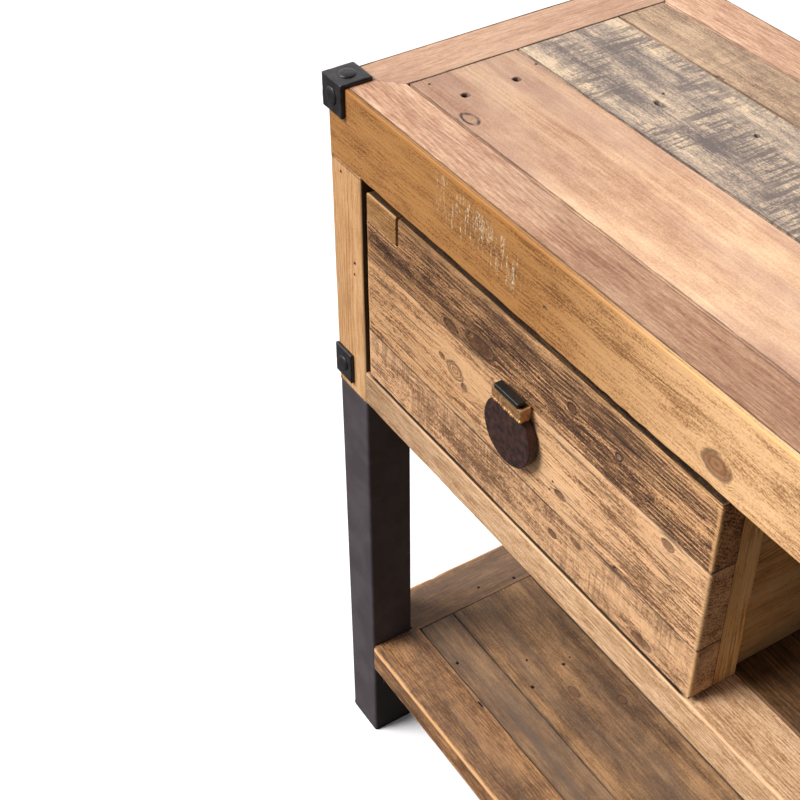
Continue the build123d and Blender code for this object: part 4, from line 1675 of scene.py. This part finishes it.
@dataclass
class Drawer:
    """The drawer: a front of three boards with a let-in patch, and its box."""

    lower_gap: float = 2.5 * MM
    # How dark the painted shade is on the drawer boards' faces in the gaps round the drawer: left
    # ends, top and bottom.
    stain: float = 0.7
    top_stain: float = 0.86
    low_stain: float = 0.88

    def build(self) -> None:
        """Builds the drawer's wooden pieces."""
        face = Face(1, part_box("drawer_front_top")[0][1])
        self.upper_board(face)
        self.patch()
        self.middle_board(face)
        self.lower_board(face)
        boxed = Sawn(step=25 * MM, arris=0.8 * MM, waviness=0.1 * MM)
        sides = ("drawer_side_left", "drawer_side_right")
        for node in (*sides, "drawer_box_front", "drawer_back", "drawer_bottom"):
            timber(node, BOX_WOOD, "wood_box", boxed, Body.DRAWER)

    def upper_board(self, face: Face) -> None:
        """Builds the front's upper board, notched for the patch.

        Args:
            face: the drawer's front face.
        """
        knots = face.knots(
            (-0.2780, 0.6990, 8, KnotKind.SWIRL, 2.4),
            (-0.1588, 0.7200, 4.5, KnotKind.EYE, 1.2),
            (-0.1023, 0.7143, 3.2, KnotKind.RING, 1.1),
            (-0.3200, 0.6925, 5, KnotKind.EYE, 2.0),
        )
        sawn = Sawn(
            step=5 * MM,
            rounds={"-Y+Z": 1.6 * MM, "-Y-Z": 0.7 * MM, "+X-Y": 3.2 * MM, "-X-Y": 1.8 * MM},
            notch=tuple(map(tuple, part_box("drawer_front_patch"))),
            holes=face.holes((-0.3258, 0.6893, 0.9, 2, 1.2), (-0.3096, 0.6915, 1.2, 2)),
            waviness=0.5 * MM,
            snap=15 * MM,
            # Painted shade on the top face and the left end, which sit in the gaps round the
            # drawer.
            stains={"+Z": self.top_stain, "-X": self.stain},
        )
        node = "drawer_front_top"
        timber(node, DRAWER_DARK, "wood_drawer_dark", sawn, Body.DRAWER, knots)

    def patch(self) -> None:
        """Builds the patch let into the upper board's left end."""
        sawn = Sawn(
            step=4 * MM,
            arris=0.6 * MM,
            end_arris=0.7 * MM,
            rounds={"-X-Y": 2.2 * MM, "-Y+Z": 2.4 * MM, "-X+Z": 4.5 * MM, "-Y-Z": 1.6 * MM},
            waviness=0.4 * MM,
            # Painted shade on the top face and the left end, which sit in the gaps round the
            # drawer.
            stains={"+Z": self.top_stain, "-X": self.stain},
        )
        timber("drawer_front_patch", PATCH, "wood_patch", sawn, Body.DRAWER)

    def middle_board(self, face: Face) -> None:
        """Builds the front's middle board.

        Args:
            face: the drawer's front face.
        """
        knots = face.knots(
            (-0.3129, 0.6500, 7.5, KnotKind.SWIRL, 1.5),
            (-0.2990, 0.6412, 3.5, KnotKind.EYE, 1.3),
            (-0.3326, 0.6527, 2.6, KnotKind.EYE, 1.6),
            (-0.1643, 0.6255, 3.4, KnotKind.EYE, 1.8),
            (-0.0413, 0.6762, 4.0, KnotKind.EYE, 1.6),
        )
        holes = face.holes(
            (-0.1741, 0.6318, 1.3, 3),
            (-0.1770, 0.6207, 1.3, 3),
            (-0.4076, 0.6281, 1.2, 2, 1.6),
            (-0.0923, 0.6060, 1.6, 2, 1.4),
        )
        sawn = Sawn(
            step=5 * MM,
            rounds={"-Y+Z": 0.8 * MM, "-Y-Z": 0.6 * MM, "+X-Y": 3.2 * MM, "-X-Y": 2.2 * MM},
            holes=holes,
            waviness=0.45 * MM,
            # Painted shade on the left end, in the gap beside the post.
            stains={"-X": self.stain},
        )
        node = "drawer_front_middle"
        timber(node, DRAWER_TAN, "wood_drawer_tan", sawn, Body.DRAWER, knots)

    def lower_board(self, face: Face) -> None:
        """Builds the front's lower board, which stands clear of the rail under it.

        Args:
            face: the drawer's front face.
        """
        knots = face.knots(
            (-0.1703, 0.5778, 3.4, KnotKind.EYE, 1.5),
            (-0.1412, 0.5915, 3.4, KnotKind.EYE, 1.8),
            (-0.0552, 0.5590, 4.5, KnotKind.EYE, 2.6),
        )
        lifted = [(x, y, -1) for x in (-1, 1) for y in (-1, 1)]
        sawn = Sawn(
            step=5 * MM,
            rounds={"-Y+Z": 0.7 * MM, "-Y-Z": 1.0 * MM, "+X-Y": 3.2 * MM, "-X-Y": 1.8 * MM},
            shift=dict.fromkeys(lifted, (0.0, 0.0, self.lower_gap)),
            waviness=0.45 * MM,
            # Painted shade on the left end and the bottom face, in the gaps round the drawer.
            stains={"-X": self.stain, "-Z": self.low_stain},
        )
        node = "drawer_front_bottom"
        timber(node, DRAWER_LOW, "wood_drawer_tan", sawn, Body.DRAWER, knots)


@dataclass
class Pull:
    """The drawer's pull: iron disc and neck, brass collar, black bar."""

    bead: float = 1.6 * MM
    bead_step: float = 2.7 * MM

    def build(self) -> None:
        """Builds the pull's three shown pieces."""
        disc = Casting("pull_disc", 0.6 * MM, 3, 0.25 * MM, 21)
        collar = Casting("pull_collar", 0.4 * MM, 2, 0.3 * MM, 31, self.beads())
        tab = Casting("pull_tab", 0.35 * MM, 3, 0.15 * MM, 41)
        for casting, finish in ((disc, PATINA), (collar, BRASS), (tab, GLOSS)):
            name, mesh = f"{casting.node}_cast", casting.mesh()
            put(name, mesh, finish.dress(), Body.DRAWER, casting.node)

    def beads(self) -> list[tuple[Point, float]]:
        """Places the balls along the collar's front and side edges.

        Returns:
            Each ball's centre and radius.
        """
        low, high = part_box("pull_collar")
        beads: list[tuple[Point, float]] = []
        chance = np.random.default_rng(8)
        inset = 0.8 * MM
        steps = int((high[0] - low[0]) / self.bead_step)
        for step in range(steps + 1):
            x = low[0] + inset + (high[0] - low[0] - 2 * inset) * step / steps
            size = self.bead * chance.uniform(0.75, 1.2)
            drop = low[2] + inset + chance.uniform(-0.5, 0.6) * MM
            beads.append(((x, low[1] + 0.4 * MM, drop), size))
        for y in np.arange(low[1] + 2 * MM, high[1] - 2 * MM, self.bead_step):
            for x in (low[0] + 0.7 * MM, high[0] - 0.7 * MM):
                size = self.bead * chance.uniform(0.8, 1.1)
                beads.append(((x, float(y), low[2] + 0.6 * MM), size))
        return beads


@dataclass
class Legs:
    """Four square steel legs with soft corners."""

    corner: float = 3.4 * MM
    seed: int = 5

    def build(self) -> None:
        """Builds the legs' outsides."""
        steel = LEG_STEEL.dress()
        square = Sawn(
            step=30 * MM,
            arris=self.corner,
            end_arris=0.6 * MM,
            wear=0.0,
            waviness=0.12 * MM,
            snap=4 * MM,
        )
        for corner in CORNERS:
            node = f"leg_{corner}"
            points, faces, marks = Stick(shells(node)[0], square, self.seed).build()
            mesh = fresh_mesh(f"{node}_mesh", points, faces, {"arris": marks["arris"]})
            put(f"{node}_tube", mesh, steel, Body.TABLE, node)


@dataclass
class Shelf:
    """The low shelf: a mitred frame notched round the legs, and three planks."""

    corner: float = 6.0 * MM

    def build(self) -> None:
        """Builds the shelf's boards."""
        face = Face(2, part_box("shelf_planks")[1][2])
        holes = {
            Side.LEFT: face.holes((-0.4600, 0.0075, 1.8, 4), (-0.4700, -0.0355, 1.6, 4)),
            Side.FRONT: face.holes((-0.3300, -0.1290, 1.2, 3, 3.5)),
        }
        for side in Side:
            rounds = {f"{side.outer}+Z": 2.6, f"{side.outer}-Z": 2.4, f"{side.inner}+Z": 1.4}
            sawn = Sawn(
                step=7 * MM,
                arris=1.4 * MM,
                end_arris=1.2 * MM,
                rounds={key: radius * MM for key, radius in rounds.items()},
                cuts=self.leg_cuts(side),
                plan_round=self.corner,
                snap=8 * MM,
                wear=1.2,
                holes=holes.get(side, ()),
            )
            tints = (0.6,) if side is Side.LEFT else (0.0,)
            node = f"shelf_board_{side.label}"
            timber(node, SHELF_FRAME, "wood_shelf_frame", sawn, tints=tints)
        plank = Sawn(arris=1.0 * MM)
        front = replace(plank, holes=face.holes((-0.3903, -0.1185, 1.8, 4)))
        holes = face.holes(
            (-0.3527, -0.0520, 1.3, 3),
            (-0.3262, -0.0212, 1.8, 4),
            (-0.3306, -0.0097, 1.0, 3),
            (-0.3188, -0.0686, 2.0, 4),
            (0.3100, -0.0300, 2.0, 4),
        )
        knots = face.knots(
            (-0.2530, 0.0015, 4.5, KnotKind.EYE, 1.3),
            (-0.2900, -0.0350, 4, KnotKind.EYE, 2.2),
            (0.12, 0.02, 8, KnotKind.SWIRL),
        )
        cuts = (front, replace(plank, holes=holes), plank)
        tints = (0.35, 0.0, 0.15)
        timber("shelf_planks", SHELF_PLANK, "wood_shelf_plank", cuts, knots=knots, tints=tints)

    def leg_cuts(self, side: Side) -> tuple[tuple[Point, Point], ...]:
        """Where a frame board is cut off at the legs.

        Args:
            side: the side that the board is on.
        Returns:
            A place on each end's cut, and the way that the cut faces.
        """
        node = f"shelf_board_{side.label}"
        low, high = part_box(node)
        cloud = shells(node)[0]
        inner = (low if side.sign > 0 else high)[side.axis]
        on_inner = cloud[np.abs(cloud[:, side.axis] - inner) < 0.1 * MM]
        along = 1 - side.axis
        cuts = []
        for end in (-1, 1):
            place, outward = [0.0, 0.0, 0.0], [0.0, 0.0, 0.0]
            place[side.axis] = inner
            place[along] = on_inner[:, along].max() if end > 0 else on_inner[:, along].min()
            outward[side.axis], outward[along] = -side.sign, end
            cuts.append((tuple(place), tuple(outward)))
        return tuple(cuts)


@dataclass
class IronWork:
    """Corner caps, low plates and their hammered rivets.

    rings gives a rivet's dome, each ring's share of the radius and of the height.
    """

    turns: int = 28
    rings: tuple[tuple[float, float], ...] = (
        (1.0, 0.0), (0.97, 0.25), (0.9, 0.52), (0.78, 0.78), (0.6, 0.93), (0.35, 1.0), (0.12, 0.98)
    )
    sunk: float = 0.3 * MM
    dent: float = 0.25 * MM

    def build(self) -> None:
        """Builds the caps, the plates and the rivets."""
        iron = CAP_IRON.dress()
        for node, seed in (("caps_top", 51), ("caps_low", 61)):
            mesh = Casting(node, 0.8 * MM, 2, 0.3 * MM, seed).mesh()
            put(f"{node}_forged", mesh, iron, Body.TABLE, node)
        points: list[list[float]] = []
        faces: list[list[int]] = []
        for index, cloud in enumerate(shells("cap_rivets")):
            self.rivet(cloud, index, points, faces)
        places = np.array(points)
        hammered = np.stack([smooth_noise(places, 330, seed) for seed in (71, 72, 73)], 1)
        places += self.dent * (hammered - 0.5)
        marks = {"arris": np.full(len(places), 4 * MM)}
        mesh = fresh_mesh("cap_rivets_mesh", places, faces, marks)
        put("cap_rivets_forged", mesh, iron, Body.TABLE, "cap_rivets")

    def rivet(
        self, cloud: np.ndarray, index: int, points: list[list[float]], faces: list[list[int]]
    ) -> None:
        """Adds one domed head.

        Args:
            cloud: the CAD rivet's points.
            index: the rivet's number, for its own small unevenness.
            points, faces: the lists that it is added to.
        """
        low, high = cloud.min(0), cloud.max(0)
        axis = int(np.argmin(high - low))
        centre = (low + high) / 2
        middle = (np.array(CAD_BOX[0]) + np.array(CAD_BOX[1])) / 2
        sign = 1 if centre[axis] > middle[axis] else -1
        base = low[axis] if sign > 0 else high[axis]
        radius = (high - low).max() / 2
        height = (high - low).min()
        chance = np.random.default_rng(90 + index)
        start = len(points)
        across, over = (axis + 1) % 3, (axis + 2) % 3
        for share, rise in self.rings:
            for turn in range(self.turns):
                angle = math.tau * turn / self.turns
                wobble = 1 + 0.03 * math.sin(2 * angle + index)
                place = [0.0, 0.0, 0.0]
                place[axis] = base + sign * (height * rise - self.sunk * (share == 1.0))
                place[across] = centre[across] + radius * share * wobble * math.cos(angle)
                place[over] = centre[over] + radius * share * wobble * math.sin(angle)
                points.append(place)
        tip = [float(value) for value in centre]
        tip[axis] = base + sign * height * chance.uniform(0.9, 0.97)
        points.append(tip)
        for first in range(start, start + (len(self.rings) - 1) * self.turns, self.turns):
            for turn in range(self.turns):
                a, b = first + turn, first + (turn + 1) % self.turns
                quad = [a, b, b + self.turns, a + self.turns]
                faces.append(quad if sign > 0 else quad[::-1])
        last = start + (len(self.rings) - 1) * self.turns
        for turn in range(self.turns):
            triangle = [last + turn, last + (turn + 1) % self.turns, len(points) - 1]
            faces.append(triangle if sign > 0 else triangle[::-1])
        foot = list(range(start, start + self.turns))
        faces.append(foot[::-1] if sign > 0 else foot)


@dataclass
class Hardware:
    """Screws, bolts, brackets, runners and glides that keep their CAD shape."""

    screws: tuple[str, ...] = ("drawer_screws", "pull_screw", "leg_bolts", "shelf_screws")

    def dress(self) -> None:
        """Gives each carried-over CAD node its finish."""
        materials = dict.fromkeys(self.screws, PLAIN_STEEL.dress())
        materials["shelf_brackets"] = LEG_STEEL.dress()
        materials["leg_glides"] = PLASTIC.dress()
        materials["drawer_runners"] = RUNNER_WOOD.dress("runner_wood")
        for node, material in materials.items():
            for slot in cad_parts[node].material_slots:
                slot.material = material


@dataclass
class Studio:
    """Plain white floor, soft light from the front left, and the camera.

    sky and sheen are the light that matt and glossy rays meet on the left, and the dark ones
    what they meet on the right.
    """

    camera_at: Point = (0.5086, -0.7512, 1.4734)
    camera_turn: Point = (0.862033, 0.008930, 1.007308)
    lens: float = 69.42
    shift: tuple[float, float] = (0.0035, -0.0009)
    floor_size: float = 12.0
    key_from: Point = (-0.32, -0.64, 0.70)
    key_spread: float = 0.5
    key_power: float = 4.15
    key_colour: Colour = (1.0, 0.985, 0.96)
    sky: float = 0.55
    sky_dark: float = 0.2
    sheen: float = 1.1
    sheen_dark: float = 0.04
    bounce: Colour = (88, 84, 80)

    def build(self) -> None:
        """Adds the camera, floor and lights."""
        self.camera()
        self.floor()
        self.key()
        self.world()
        bpy.context.scene.view_settings.view_transform = "Standard"

    def link(self, name: str, data: bpy.types.ID) -> bpy.types.Object:
        """Adds an object to the scene.

        Args:
            name: its name.
            data: its camera, light or mesh.
        Returns:
            The object.
        """
        thing = bpy.data.objects.new(name, data)
        bpy.context.scene.collection.objects.link(thing)
        return thing

    def camera(self) -> None:
        """Adds the camera."""
        camera = self.link("camera", bpy.data.cameras.new("camera"))
        camera.location = self.camera_at
        camera.rotation_euler = self.camera_turn
        camera.data.lens = self.lens
        camera.data.sensor_width = 36.0
        camera.data.shift_x, camera.data.shift_y = self.shift
        bpy.context.scene.camera = camera

    def floor(self) -> None:
        """Adds the floor: white to look at, dimmer in the light that it throws back."""
        work = bmesh.new()
        bmesh.ops.create_grid(work, x_segments=4, y_segments=4, size=self.floor_size)
        mesh = bpy.data.meshes.new("floor")
        work.to_mesh(mesh)
        work.free()
        g = Graph("floor_white")
        seen = Wire(g, g.node("LightPath").outputs["Is Camera Ray"])
        white = g.blend(g.noise(g.place(), (3, 3, 3)), (248, 248, 252), (252, 252, 254))
        g.finish(Base_Color=g.blend(seen, self.bounce, white), Roughness=0.7)
        mesh.materials.append(g.material)
        self.link("floor", mesh)

    def key(self) -> None:
        """Adds the soft main light."""
        light = bpy.data.lights.new("key", "SUN")
        light.angle = self.key_spread
        light.energy = self.key_power
        light.color = self.key_colour
        turn = (-Vector(self.key_from)).to_track_quat("-Z", "Y").to_euler()
        self.link("key", light).rotation_euler = turn

    def world(self) -> None:
        """Surrounds the table with light that is brighter on the left."""
        world = bpy.data.worlds.new("studio")
        world.use_nodes = True
        nodes, links = world.node_tree.nodes, world.node_tree.links
        background = nodes["Background"]
        split = nodes.new("ShaderNodeSeparateXYZ")
        links.new(nodes.new("ShaderNodeTexCoord").outputs["Generated"], split.inputs[0])
        path = nodes.new("ShaderNodeLightPath").outputs
        strengths = []
        for bright, dim in ((self.sky, self.sky_dark), (self.sheen, self.sheen_dark)):
            side = nodes.new("ShaderNodeMapRange")
            side.interpolation_type = "SMOOTHSTEP"
            limits = {"From Min": -0.2, "From Max": 0.6, "To Min": bright, "To Max": dim}
            for key, limit in limits.items():
                side.inputs[key].default_value = limit
            links.new(split.outputs[0], side.inputs["Value"])
            strengths.append(side.outputs["Result"])
        pick = nodes.new("ShaderNodeMix")
        links.new(path["Is Glossy Ray"], pick.inputs["Factor"])
        links.new(strengths[0], pick.inputs["A"])
        links.new(strengths[1], pick.inputs["B"])
        seen = nodes.new("ShaderNodeMath")
        seen.operation = "MAXIMUM"
        links.new(path["Is Camera Ray"], seen.inputs[0])
        links.new(pick.outputs["Result"], seen.inputs[1])
        links.new(seen.outputs[0], background.inputs["Strength"])
        background.inputs["Color"].default_value = (1.0, 1.0, 1.0, 1.0)
        bpy.context.scene.world = world


def main() -> None:
    """Builds every sub-assembly in order."""
    logging.basicConfig(level=logging.INFO, format="%(name)s %(message)s")
    Top().build()
    BoxFrame().build()
    Drawer().build()
    Pull().build()
    Legs().build()
    Shelf().build()
    IronWork().build()
    Hardware().dress()
    Studio().build()


if __name__ == "__main__":
    main()
